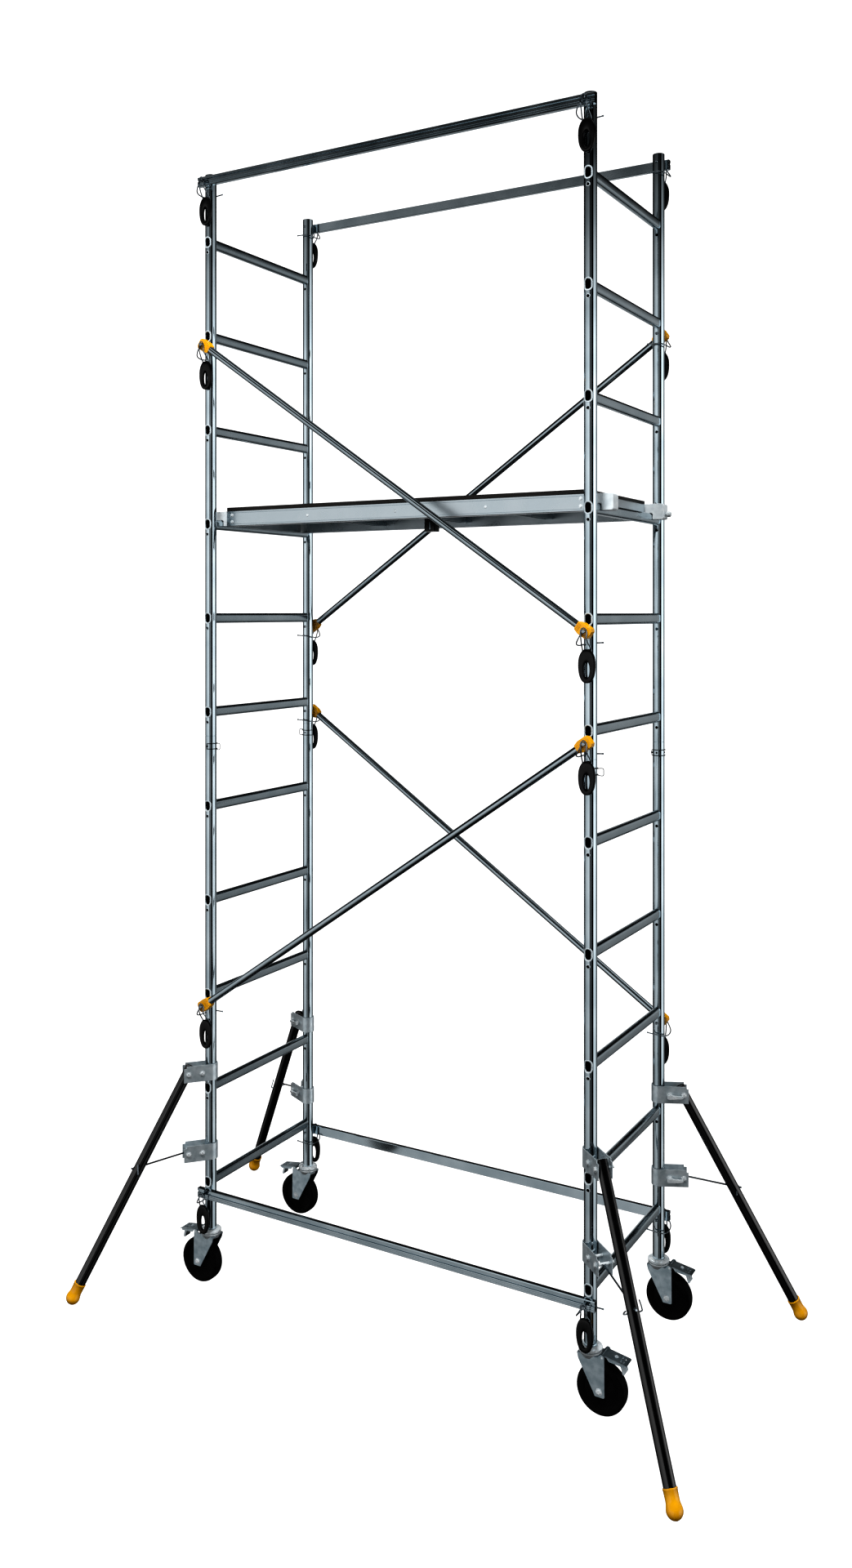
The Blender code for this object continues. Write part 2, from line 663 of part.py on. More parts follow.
def outriggers():
    brackets = {(level, side): clamp_bracket(z, side)
                for level, z in (("upper", UPPER_BRACKET_Z), ("lower", LOWER_BRACKET_Z)) for side in (-1, 1)}
    for corner, (_, _, _, lever_side) in CORNERS.items():
        place = outrigger_frame(corner)
        reach = leg_reach(corner)
        add_part("outrigger_leg_" + corner, moved(outrigger_leg(reach), place), "black_paint")
        add_part("outrigger_foot_" + corner, moved(outrigger_foot(reach), place), "yellow_plastic")
        for level in ("upper", "lower"):
            bracket = moved(brackets[level, lever_side], place)
            add_part("outrigger_" + level + "_bracket_" + corner, bracket, "bracket_steel")


# ---------------------------------------------------------------- the tower

def main():
    for item in list(bpy.data.objects):
        bpy.data.objects.remove(item)
    low, high = lower_post(), upper_post()
    for side_x, side in ((-1, "left"), (1, "right")):
        ladder_frame("frame_lower_" + side, side_x, low, LOWER_RUNGS, (0.0, JOINT_Z))
        ladder_frame("frame_upper_" + side, side_x, high, UPPER_RUNGS, (JOINT_Z, POST_TOP))
    rails_and_braces()
    platform()
    castors()
    outriggers()
    pull_handles()


main()
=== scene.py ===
"""Looks of the mobile tower scaffold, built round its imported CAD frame.

Metres, +Z up, X along the platform, -Y the front. A corner part is made once about a post
and then placed at each corner.
"""

import json
from math import cos, pi, radians, sin, sqrt

import bmesh
import bpy
from mathutils import Matrix, Vector


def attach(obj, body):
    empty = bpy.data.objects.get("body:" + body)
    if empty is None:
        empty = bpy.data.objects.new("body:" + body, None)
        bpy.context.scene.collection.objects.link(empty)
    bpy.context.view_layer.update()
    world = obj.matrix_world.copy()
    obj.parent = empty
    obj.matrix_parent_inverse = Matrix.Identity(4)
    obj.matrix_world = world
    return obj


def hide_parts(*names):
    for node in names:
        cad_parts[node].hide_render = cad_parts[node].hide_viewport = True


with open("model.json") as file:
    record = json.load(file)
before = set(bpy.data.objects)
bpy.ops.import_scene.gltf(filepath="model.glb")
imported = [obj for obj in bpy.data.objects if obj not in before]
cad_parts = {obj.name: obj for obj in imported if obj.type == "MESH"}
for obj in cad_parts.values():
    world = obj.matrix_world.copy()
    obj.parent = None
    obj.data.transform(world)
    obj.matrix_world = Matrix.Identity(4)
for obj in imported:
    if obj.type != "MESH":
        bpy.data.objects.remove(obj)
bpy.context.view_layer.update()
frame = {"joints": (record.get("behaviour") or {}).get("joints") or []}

JOINTS = {joint["name"]: joint for joint in frame["joints"]}
CORNERS = {"front_left": (-1, -1), "front_right": (1, -1), "rear_right": (1, 1), "rear_left": (-1, 1)}
POSTS = {corner: Vector(JOINTS["castor_swivel_" + corner]["pos_m"]) for corner in CORNERS}
TOWER_Y = (POSTS["front_left"].y + POSTS["rear_left"].y) / 2
LEVER_SIDE = {"front_left": -1, "front_right": 1, "rear_right": -1, "rear_left": 1}

# Ladder frames
POST_R = 0.017
POST_BORE_R = 0.015
POST_SIDES = 48
POST_BOTTOM = 0.164
JOINT_Z = 1.635
POST_TOP = 3.309
SPIGOT_LENGTH = 0.075
SPIGOT_BORE_R = 0.0125
RUNG_1_Z = 0.306
RUNG_PITCH = 0.28
SECTIONS = {"lower": range(1, 6), "upper": range(6, 12)}
RUNG_SIZE = (0.02, 0.03)
RUNG_ROUND = 0.0088
RUNG_WALL = 0.0016
RIM_SIZE = (0.0228, 0.034)
PIN_HOLE_R = 0.0042
PIN_HOLE_DROP = 0.03
LOCK_Z = 1.604
LOCK_HOLE_R = 0.003

# Rails and braces
RAIL_INNER = 0.019            # post axis to the inner face of a rail
RAIL_DEPTH = 0.014
RAIL_HEIGHT = 0.028
RAIL_OVERHANG = 0.024
RAIL_HEIGHTS = {"base": RUNG_1_Z - PIN_HOLE_DROP, "guard": 3.284}
BRACE_R = 0.01
BRACE_BORE_R = 0.0085
BRACE_INSET = 0.012            # pin to the end of the tube
BRACE_TIP = 0.017
FITTING_LENGTH = 0.045
FITTING_HEIGHT = 0.032

# Spring hooks and handles
PIN_R = 0.0035
WIRE_Y = -0.045
WIRE_R = 0.0018
HANDLE_THICKNESS = 0.0092

# Platform
PLATFORM_RUNG = 8
DECK_HALF_X = 0.585
DECK_HALF_Y = 0.206
DECK_THICKNESS = 0.011
SIDE_HEIGHT = 0.045
HOOK_REACH = 0.042
HOOK_WIDTH = 0.036
CROSS_MEMBERS = (-0.29, 0.008, 0.29)

# Castor, built trailing towards +X
WHEEL_R = 0.065
TRAIL = 0.032
CHEEK_Y = 0.0205
CHEEK_THICKNESS = 0.003
PEDAL_HINGE = (0.04, 0.152)

# Outrigger, built leaning towards +X
REACH = {"front_left": 0.398, "front_right": 0.415, "rear_right": 0.398, "rear_left": 0.398}
FOOT_R = 0.0205               # ball centre above the floor
BALL_R = 0.0197
BRACKET_Z = {"upper": 0.634, "lower": 0.398}
BRACKET_HEIGHT = 0.048
BRACKET_INNER = 0.018
BRACKET_THICKNESS = 0.0025
BRACKET_LENGTH = 0.082
CLAMP_BOLT_X = 0.0285
PIVOT_X = 0.069
LEG_R = 0.015
LEG_BORE_R = 0.013
LEG_TOP = 0.02
LEG_END_GAP = 0.0155
STRUT_R = 0.0025
STRUT_ALONG_LEG = 0.425


# ---- mesh helpers

def loft(rings, closed=False, capped=True):
    """Skin a list of rings of points."""
    bm = bmesh.new()
    loops = [[bm.verts.new(point) for point in ring] for ring in rings]
    pairs = list(zip(loops, loops[1:]))
    if closed:
        pairs.append((loops[-1], loops[0]))
    elif capped:
        bm.faces.new(loops[0])
        bm.faces.new(loops[-1])
    for lower, upper in pairs:
        for i in range(len(lower)):
            j = (i + 1) % len(lower)
            bm.faces.new((lower[i], lower[j], upper[j], upper[i]))
    bmesh.ops.recalc_face_normals(bm, faces=bm.faces)
    mesh = bpy.data.meshes.new("solid")
    bm.to_mesh(mesh)
    bm.free()
    return mesh


def joined(meshes):
    """Several shells as one mesh."""
    bm = bmesh.new()
    for mesh in meshes:
        bm.from_mesh(mesh)
    result = bpy.data.meshes.new("joined")
    bm.to_mesh(result)
    bm.free()
    return result


def moved(mesh, matrix):
    """A copy of a mesh carried by a matrix."""
    copy = mesh.copy()
    copy.transform(matrix)
    return copy


def cut(base, tool):
    """A mesh with another one cut out of it."""
    body = bpy.data.objects.new("body", base)
    other = bpy.data.objects.new("other", tool)
    for item in (body, other):
        bpy.context.collection.objects.link(item)
    modifier = body.modifiers.new("cut", "BOOLEAN")
    modifier.operation = "DIFFERENCE"
    modifier.solver = "EXACT"
    modifier.object = other
    graph = bpy.context.evaluated_depsgraph_get()
    result = bpy.data.meshes.new_from_object(body.evaluated_get(graph))
    for item in (body, other):
        bpy.data.objects.remove(item)
    return result


def show(name, mesh, body, material, hides=(), bevel=0.0, crease=35.0):
    """Make a visible piece: shade it, round its edges and ride it on a body."""
    bm = bmesh.new()
    bm.from_mesh(mesh)
    for face in bm.faces:
        face.smooth = True
        face.material_index = 0
    for edge in bm.edges:
        edge.smooth = len(edge.link_faces) == 2 and edge.calc_face_angle(0.0) < radians(crease)
    data = bpy.data.meshes.new(name)
    bm.to_mesh(data)
    bm.free()
    data.materials.append(material)
    piece = bpy.data.objects.new(name, data)
    bpy.context.scene.collection.objects.link(piece)
    if bevel:
        modifier = piece.modifiers.new("edges", "BEVEL")
        modifier.width = bevel
        modifier.segments = 2
        modifier.limit_method = "ANGLE"
        modifier.angle_limit = radians(crease)
        modifier.harden_normals = True
    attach(piece, body)
    if hides:
        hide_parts(*hides)
    return piece


# ---- shapes

def circle(radius, sides, turn=0.0):
    angles = [turn + 2 * pi * i / sides for i in range(sides)]
    return [(radius * cos(angle), radius * sin(angle)) for angle in angles]


def rounded(width, height, radius, steps=4):
    """Outline of a rectangle with rounded corners about the origin."""
    points = []
    for quarter, (sx, sy) in enumerate(((1, 1), (-1, 1), (-1, -1), (1, -1))):
        for i in range(steps + 1):
            angle = pi / 2 * (quarter + i / steps)
            points.append((sx * (width / 2 - radius) + radius * cos(angle),
                           sy * (height / 2 - radius) + radius * sin(angle)))
    return points


def shifted(profile, a, b):
    return [(x + a, y + b) for x, y in profile]


PLACE = {"X": lambda a, b, t: (t, a, b), "Y": lambda a, b, t: (a, t, b), "Z": lambda a, b, t: (a, b, t)}


def prism(profile, axis, start, end):
    """A profile drawn out along an axis."""
    return loft([[PLACE[axis](a, b, t) for a, b in profile] for t in (start, end)])


def tube(outer, inner, axis, start, end):
    """A hollow prism, open at both ends."""
    layers = ((outer, start), (outer, end), (inner, end), (inner, start))
    return loft([[PLACE[axis](a, b, t) for a, b in profile] for profile, t in layers], closed=True)


def turned(profile, sides, closed=False):
    """Points (radius, height) turned about the Z axis."""
    rings = [[(x, y, height) for x, y in circle(radius, sides)] for radius, height in profile]
    return loft(rings, closed)


def box(size, centre):
    half_x, half_y, half_z = (value / 2 for value in size)
    x, y, z = centre
    corners = [(-half_x, -half_y), (half_x, -half_y), (half_x, half_y), (-half_x, half_y)]
    return prism(shifted(corners, x, y), "Z", z - half_z, z + half_z)


def curved(points, steps=6, closed=False):
    """A smooth line through control points of any dimension."""
    points = [Vector(point) for point in points]
    count = len(points)
    result = []
    for i in range(count if closed else count - 1):
        if closed:
            a, b, c, d = (points[(i + k) % count] for k in (-1, 0, 1, 2))
        else:
            a, b, c, d = (points[min(max(i + k, 0), count - 1)] for k in (-1, 0, 1, 2))
        for step in range(steps):
            t = step / steps
            result.append(0.5 * (2 * b + (c - a) * t + (2 * a - 5 * b + 4 * c - d) * t ** 2
                                 + (3 * b - a - 3 * c + d) * t ** 3))
    if not closed:
        result.append(points[-1])
    return result


def wire(path, radius=WIRE_R, sides=10, closed=False):
    """A round wire along a smooth path."""
    points = [Vector(point) for point in path]
    count = len(points)
    segments = count if closed else count - 1
    steps = [(points[(i + 1) % count] - points[i]).normalized() for i in range(segments)]
    side = Vector((0, 1, 0)) if closed else steps[0].orthogonal().normalized()
    rings = []
    for i, point in enumerate(points):
        before = steps[i - 1] if i > 0 or closed else steps[0]
        after = steps[i] if i < len(steps) else steps[-1]
        along = (before + after).normalized()
        side = (side - along * side.dot(along)).normalized()
        across = along.cross(side)
        rings.append([point + side * a + across * b for a, b in circle(radius, sides)])
    return loft(rings, closed)


def resampled(points, count):
    """Points of a closed line, evenly spaced along it."""
    lengths = [(points[(i + 1) % len(points)] - point).length for i, point in enumerate(points)]
    total, result, i, walked = sum(lengths), [], 0, 0.0
    for k in range(count):
        target = total * k / count
        while walked + lengths[i] < target:
            walked += lengths[i]
            i += 1
        share = (target - walked) / lengths[i]
        result.append(points[i].lerp(points[(i + 1) % len(points)], share))
    return result


def bolt_head(radius, height):
    """Hexagon head with a washer under it, standing on the XY plane."""
    washer_r, washer_top = radius * 1.45, height * 0.22
    domed = [(radius, washer_top), (radius, height * 0.85), (radius * 0.82, height)]
    return joined([turned([(washer_r, 0), (washer_r, washer_top)], 24), turned(domed, 6)])


def on_face(mesh, side, x, y, z):
    """A mesh that stands on the XY plane, put on a face that looks along -Y or +Y."""
    return moved(mesh, Matrix.Translation((x, y, z)) @ Matrix.Rotation(side * -pi / 2, 4, "X"))


# ---- placing

def facing_out(corner, height):
    """Post frame whose -Y points out of the tower's long side."""
    turn = pi if CORNERS[corner][1] > 0 else 0.0
    post = POSTS[corner]
    return Matrix.Translation((post.x, post.y, height)) @ Matrix.Rotation(turn, 4, "Z")


def outrigger_frame(corner):
    """Post frame whose +X points along the outrigger."""
    post = Vector((POSTS[corner].x, POSTS[corner].y, 0))
    pivot = Vector(JOINTS["leg_fold_" + corner]["pos_m"])
    direction = Vector((pivot.x - post.x, pivot.y - post.y, 0))
    return Matrix.Translation(post) @ Vector((1, 0, 0)).rotation_difference(direction).to_matrix().to_4x4()


def rung_z(number):
    return RUNG_1_Z + RUNG_PITCH * (number - 1)


def pin_z(number):
    return rung_z(number) - PIN_HOLE_DROP


BRACES = {
    "upper_front": (("front_left", 10), ("front_right", 7)),
    "lower_front": (("front_left", 3), ("front_right", 6)),
    "upper_rear": (("rear_left", 7), ("rear_right", 10)),
    "lower_rear": (("rear_left", 6), ("rear_right", 3)),
}


# ---- materials

def fill(node, values):
    """Set sockets of a node by their names."""
    for name, value in values.items():
        node.inputs[name].default_value = value


def principled(name, color, metallic, roughness):
    material = bpy.data.materials.new(name)
    material.use_nodes = True
    shader = material.node_tree.nodes["Principled BSDF"]
    fill(shader, {"Base Color": (*color, 1), "Metallic": metallic, "Roughness": roughness})
    return material, shader


def noise(material, scale, stretch=(1, 1, 1), detail=4.0):
    """Noise in the piece's own coordinates, drawn out by the stretch."""
    nodes, links = material.node_tree.nodes, material.node_tree.links
    coordinates = nodes.new("ShaderNodeTexCoord")
    mapping = nodes.new("ShaderNodeMapping")
    fill(mapping, {"Scale": stretch})
    texture = nodes.new("ShaderNodeTexNoise")
    fill(texture, {"Scale": scale, "Detail": detail})
    links.new(coordinates.outputs["Object"], mapping.inputs["Vector"])
    links.new(mapping.outputs["Vector"], texture.inputs["Vector"])
    return texture.outputs["Fac"]


def blended(material, factor, dark, light, low=0.35, high=0.65):
    """A colour that goes from dark to light with a factor."""
    ramp = material.node_tree.nodes.new("ShaderNodeValToRGB")
    ramp.color_ramp.elements[0].position = low
    ramp.color_ramp.elements[1].position = high
    ramp.color_ramp.elements[0].color = (*dark, 1)
    ramp.color_ramp.elements[1].color = (*light, 1)
    material.node_tree.links.new(factor, ramp.inputs["Fac"])
    return ramp.outputs["Color"]


def map_range(nodes, given, wanted):
    """A node that carries numbers from one range to another."""
    node = nodes.new("ShaderNodeMapRange")
    fill(node, {"From Min": given[0], "From Max": given[1], "To Min": wanted[0], "To Max": wanted[1]})
    return node


def varied(material, shader, clouds, colours, wear, roughness):
    """Colour that goes with one noise, and roughness that goes with another."""
    links = material.node_tree.links
    node = map_range(material.node_tree.nodes, (0.3, 0.7), roughness)
    links.new(blended(material, clouds, *colours), shader.inputs["Base Color"])
    links.new(wear, node.inputs["Value"])
    links.new(node.outputs["Result"], shader.inputs["Roughness"])


def bumped(material, shader, height, strength, distance):
    """Fine relief that follows a height."""
    node = material.node_tree.nodes.new("ShaderNodeBump")
    fill(node, {"Strength": strength, "Distance": distance})
    material.node_tree.links.new(height, node.inputs["Height"])
    material.node_tree.links.new(node.outputs["Normal"], shader.inputs["Normal"])


def aluminium(name, dark=(0.46, 0.55, 0.6), light=(0.6, 0.69, 0.74), roughness=(0.02, 0.06), lines=None):
    """Extruded aluminium: faint dull patches, and fine lines if it is given their stretch."""
    material, shader = principled(name, light, 1.0, roughness[0])
    patches = noise(material, 9.0)
    varied(material, shader, patches, (dark, light), patches, roughness)
    if lines:
        bumped(material, shader, noise(material, 1.0, lines, 3.0), 0.02, 0.0001)
    return material


def plated_steel(name, dark, light, roughness, metallic=1.0):
    """Plated sheet or cast metal: cloudy colour and a slightly uneven surface."""
    material, shader = principled(name, light, metallic, roughness[0])
    clouds = noise(material, 60.0, detail=6.0)
    varied(material, shader, clouds, (dark, light), noise(material, 25.0), roughness)
    bumped(material, shader, noise(material, 420.0), 0.1, 0.0003)
    return material


def moulded(name, dark, light, roughness, grain, strength, shine=0.5, coat=0.0):
    """Moulded plastic, rubber or powder coat: fine grain and slight wear."""
    material, shader = principled(name, light, 0.0, roughness[0])
    varied(material, shader, noise(material, 35.0), (dark, light), noise(material, 50.0), roughness)
    bumped(material, shader, noise(material, grain), strength, 0.0003)
    fill(shader, {"Specular IOR Level": shine, "Coat Weight": coat, "Coat Roughness": 0.2})
    return material


def deck_film():
    """Black film-faced plywood with its pressed mesh pattern."""
    material, shader = principled("deck_film", (0.02, 0.018, 0.016), 0.0, 0.5)
    nodes, links = material.node_tree.nodes, material.node_tree.links
    coordinates = nodes.new("ShaderNodeTexCoord")
    cells = nodes.new("ShaderNodeTexVoronoi")
    cells.feature = "DISTANCE_TO_EDGE"
    fill(cells, {"Scale": 260.0, "Randomness": 0.15})
    links.new(coordinates.outputs["Object"], cells.inputs["Vector"])
    wear = noise(material, 5.0, detail=8.0)
    colours = ((0.003, 0.0028, 0.0026), (0.01, 0.009, 0.008))
    varied(material, shader, wear, colours, wear, (0.38, 0.6))
    bumped(material, shader, cells.outputs["Distance"], 0.5, 0.0006)
    return material


POST_METAL = aluminium("aluminium_post")
RUNG_METAL = aluminium("aluminium_rung", roughness=(0.14, 0.22), lines=(900, 6, 900))
RAIL_METAL = aluminium("aluminium_rail", roughness=(0.08, 0.14))
BRACE_METAL = aluminium("aluminium_brace", (0.36, 0.43, 0.47), (0.46, 0.53, 0.57), (0.12, 0.18))
PLATFORM_METAL = aluminium("aluminium_platform", (0.54, 0.61, 0.65), (0.66, 0.73, 0.77), (0.24, 0.34))
CLAW_METAL = plated_steel("cast_claw", (0.7, 0.76, 0.79), (0.84, 0.89, 0.91), (0.3, 0.42), 0.35)
RIM_METAL = plated_steel("pressed_rim", (0.5, 0.57, 0.61), (0.66, 0.73, 0.76), (0.3, 0.42), 0.4)
WIRE_METAL = plated_steel("spring_wire", (0.2, 0.24, 0.27), (0.38, 0.43, 0.47), (0.12, 0.22))
CLIP_METAL = plated_steel("clip_wire", (0.05, 0.055, 0.06), (0.12, 0.13, 0.14), (0.15, 0.25))
FORK_METAL = plated_steel("fork_steel", (0.38, 0.47, 0.52), (0.56, 0.65, 0.7), (0.3, 0.44))
BRACKET_METAL = plated_steel("bracket_steel", (0.5, 0.58, 0.62), (0.68, 0.75, 0.79), (0.3, 0.44), 0.7)
BOLT_METAL = plated_steel("bolt_steel", (0.66, 0.72, 0.75), (0.84, 0.88, 0.9), (0.18, 0.3), 0.5)
LEG_PAINT = moulded("black_powder_coat", (0.001, 0.001, 0.0012), (0.003, 0.003, 0.0034),
                    (0.1, 0.18), 900.0, 0.1, shine=0.6, coat=0.6)
HANDLE_PLASTIC = moulded("black_plastic", (0.001, 0.001, 0.001), (0.003, 0.003, 0.0032),
                         (0.16, 0.3), 1400.0, 0.08, shine=0.35)
END_PLASTIC = moulded("yellow_plastic", (0.62, 0.29, 0.003), (0.74, 0.36, 0.005),
                      (0.16, 0.28), 1100.0, 0.08)
TYRE_RUBBER = moulded("black_rubber", (0.0012, 0.0012, 0.0012), (0.0035, 0.0035, 0.0035),
                      (0.55, 0.75), 800.0, 0.2, shine=0.12)
DECK_FILM = deck_film()


# ---- ladder frames

def post_tube(section):
    """A post; the upper one has a spigot that stands in the lower one."""
    lip = 0.0004
    if section == "lower":
        bottom, top = POST_BOTTOM, JOINT_Z - lip
        profile = [(POST_R - lip, bottom), (POST_R, bottom + lip), (POST_R, top - lip), (POST_R - lip, top),
                   (POST_BORE_R, top), (POST_BORE_R, bottom)]
    else:
        tip, root, spigot = JOINT_Z - SPIGOT_LENGTH, JOINT_Z + 0.03, POST_BORE_R - 0.0003
        profile = [(POST_R - lip, POST_TOP), (POST_R, POST_TOP - lip), (POST_R, JOINT_Z + lip),
                   (POST_R - lip, JOINT_Z), (spigot, JOINT_Z), (spigot, tip), (SPIGOT_BORE_R, tip),
                   (SPIGOT_BORE_R, root), (POST_BORE_R, root), (POST_BORE_R, POST_TOP)]
    return turned(profile, POST_SIDES, closed=True)


def cutter(outline, height):
    """An outline drawn out right through a post."""
    return prism(shifted(outline, 0, height), "Y", -0.03, 0.03)


def post_cutters(section):
    """Rung slots and pin holes through a post, with the lock hole at its joint."""
    numbers = SECTIONS[section]
    slot, hole = rounded(*RUNG_SIZE, RUNG_ROUND), circle(PIN_HOLE_R, 16)
    slots = [cutter(slot, rung_z(k)) for k in numbers]
    holes = [cutter(hole, pin_z(k)) for k in numbers]
    if section == "upper":
        holes.append(cutter(hole, RAIL_HEIGHTS["guard"]))
    holes.append(cutter(circle(LOCK_HOLE_R, 12), LOCK_Z))
    return slots, holes


def on_post(a, b, lift, side):
    """A point of a flat outline laid on the round face of a post."""
    return (a, side * (sqrt(POST_R ** 2 - a * a) + lift), b)


def rung_rim(side):
    """Swaged end of a rung, a lip that hugs the post round the slot."""
    inner = rounded(RUNG_SIZE[0] - 2 * RUNG_WALL, RUNG_SIZE[1] - 2 * RUNG_WALL, RUNG_ROUND - RUNG_WALL)
    middle = rounded(*RUNG_SIZE, RUNG_ROUND)
    outer = rounded(*RIM_SIZE, RUNG_ROUND + 0.0015)
    layers = ((inner, -0.003), (inner, 0.0008), (middle, 0.0018), (outer, 0.0014), (outer, -0.0004),
              (middle, -0.003))
    return loft([[on_post(a, b, lift, side) for a, b in outline] for outline, lift in layers], closed=True)


def rung_tube():
    """Rung with a rounded section and a ribbed tread on top, centred on the ladder frame."""
    outer = []
    half_width = RUNG_SIZE[0] / 2
    for a, b in rounded(*RUNG_SIZE, RUNG_ROUND, 6):
        outer.append((a, b))
        if abs(a - (half_width - RUNG_ROUND)) < 1e-6 and b > RUNG_SIZE[1] / 2 - 1e-6:
            for k in range(1, 8):
                rib = half_width - RUNG_ROUND - k * (RUNG_SIZE[0] - 2 * RUNG_ROUND) / 8
                outer.append((rib, b - (0.0006 if k % 2 else 0.0)))
    scale_x = (RUNG_SIZE[0] - 2 * RUNG_WALL) / RUNG_SIZE[0]
    scale_z = (RUNG_SIZE[1] - 2 * RUNG_WALL) / RUNG_SIZE[1]
    inner = [(a * scale_x, b * scale_z) for a, b in outer]
    half = (POSTS["rear_left"].y - POSTS["front_left"].y) / 2 + POST_R * 0.8
    return tube(outer, inner, "Y", -half, half)


def hole_rim(side):
    """Raised edge round a pin hole."""
    sizes = ((PIN_HOLE_R, -0.001), (PIN_HOLE_R + 0.0002, 0.0005), (PIN_HOLE_R + 0.0012, 0.0005),
             (PIN_HOLE_R + 0.0018, -0.0003))
    rings = [[on_post(a, b, lift, side) for a, b in circle(radius, 20)] for radius, lift in sizes]
    return loft(rings, closed=True)


def ladder_frames():
    """Both sections of both ladder frames: posts, rungs and rims round their holes."""
    rung = rung_tube()
    for section, numbers in SECTIONS.items():
        slots, holes = post_cutters(section)
        post = cut(cut(post_tube(section), joined(slots)), joined(holes))
        for side in ("left", "right"):
            front, rear = POSTS["front_" + side], POSTS["rear_" + side]
            posts, rungs, rims = [], [], []
            for place, outward in ((front, -1), (rear, 1)):
                at = Matrix.Translation((place.x, place.y, 0))
                posts.append(moved(post, at))
                for k in numbers:
                    rims.append(moved(rung_rim(outward), at @ Matrix.Translation((0, 0, rung_z(k)))))
                    rims.append(moved(hole_rim(outward), at @ Matrix.Translation((0, 0, pin_z(k)))))
            for k in numbers:
                rungs.append(moved(rung, Matrix.Translation((front.x, TOWER_Y, rung_z(k)))))
            name = section + "_" + side
            show("posts_" + name, joined(posts), "tower", POST_METAL, ["frame_" + name],
                 crease=28.0)
            show("rungs_" + name, joined(rungs), "tower", RUNG_METAL)
            show("rung_ends_" + name, joined(rims), "tower", RIM_METAL, crease=50.0)


def lock_clips():
    """Spring-wire clip that locks each post joint."""
    ring, half, reach, offset = 0.0192, 0.008, 0.035, -0.004
    angles = [pi * k / 12 for k in range(19)]
    hoops = [[(sin(a) * ring, -cos(a) * ring, z) for a in angles] for z in (half, -half)]
    bow = [(ring, half), (reach, 0.009), (reach + 0.002, 0.0), (reach, -0.009), (ring, -half)]
    link = [(0, -ring, half), (0, -0.0196, 0.0), (0, -ring, -half)]
    paths = hoops + [curved([(x, offset, z) for x, z in bow]), link]
    pin = wire([(0, -0.0215, 0), (0, 0.0185, 0)], 0.0025, 10)
    clip = joined([wire(path, 0.0011, 8) for path in paths] + [pin])
    for corner in CORNERS:
        turn = Matrix.Rotation(radians(120 if corner == "rear_right" else 0), 4, "Z")
        place = facing_out(corner, LOCK_Z) @ turn
        show("lock_clip_" + corner, moved(clip, place), "tower", CLIP_METAL)


# ---- spring hooks

def hook_wires(out, down):
    """Pin with its head, the wire loop down to a handle hinge, and the wire that springs round the post."""
    profile = [(0.001, -0.023), (0.0028, -0.0222), (PIN_R, -0.0205), (PIN_R, 0.0405), (0.0052, 0.041),
               (0.0052, 0.0475), (0.004, 0.049)]
    pin = moved(turned(profile, 20), Matrix.Rotation(pi / 2, 4, "X"))
    bend = -0.017
    right = [(0.0066, WIRE_Y, 0.004), (0.0084, WIRE_Y, -0.004), (0.0072, WIRE_Y, bend),
             (0.01, (WIRE_Y + out) / 2, (bend + down) / 2), (0.0118, out, down + 0.004), (0.0096, out, down)]
    left = [(-x, y, z) for x, y, z in reversed(right)]
    loop = curved([(0, WIRE_Y, 0.0084)] + right + left, 6, closed=True)
    spring = curved([(0.0045, WIRE_Y + 0.003, 0.001), (-0.006, WIRE_Y + 0.003, -0.004),
                     (-0.015, WIRE_Y + 0.002, -0.018), (-0.024, -0.034, -0.031), (-0.0265, -0.012, -0.036),
                     (-0.0235, 0.013, -0.034), (-0.013, 0.0235, -0.031), (0.006, 0.0237, -0.03),
                     (0.025, 0.023, -0.029)], 6)
    knob = moved(turned([(0.0006, -0.0026), (0.0024, -0.0014), (0.0024, 0.0014), (0.0006, 0.0026)], 12),
                 Matrix.Translation((0.0245, 0.023, -0.029)) @ Matrix.Rotation(pi / 2, 4, "Y"))
    return joined([pin, wire(loop, closed=True), wire(spring), knob])


def pull_handle():
    """Drop-shaped ring handle with a long hole, hanging from the wire through its neck."""
    half = [(0.007, 0.0045), (0.0125, 0.001), (0.0185, -0.008), (0.0222, -0.02), (0.0232, -0.033),
            (0.0224, -0.048), (0.0188, -0.064), (0.011, -0.0765)]
    outline = [(0, 0.0052)] + half + [(0, -0.08)] + [(-a, b) for a, b in reversed(half)]
    inner = [(0.0038, -0.0285), (0.0066, -0.035), (0.0078, -0.045), (0.0068, -0.058), (0.0036, -0.0655)]
    hole = [(0, -0.0265)] + inner + [(0, -0.068)] + [(-a, b) for a, b in reversed(inner)]
    stations = 64
    outside = resampled(curved(outline, 6, closed=True), stations)
    inside = resampled(curved(hole, 6, closed=True), stations)
    section = [(cos(a), sin(a)) for a in [2 * pi * k / 14 for k in range(14)]]
    rings = []
    for outer, inner_point in zip(outside, inside):
        ring = []
        for c, s in section:
            across = 0.5 + 0.5 * (abs(c) ** 0.55) * (1 if c > 0 else -1)
            thick = HANDLE_THICKNESS / 2 * (abs(s) ** 0.55) * (1 if s > 0 else -1)
            point = inner_point.lerp(outer, across)
            ring.append((point.x, thick, point.y))
        rings.append(ring)
    return loft(rings, closed=True)


def pin_heights():
    """Height of every pin by the name of its handle."""
    heights = {}
    for corner in CORNERS:
        for level, height in RAIL_HEIGHTS.items():
            heights[level + "_" + corner] = height
    for name, ends in BRACES.items():
        for corner, rung in ends:
            heights[name.split("_")[0] + "_brace_" + corner] = pin_z(rung)
    return heights


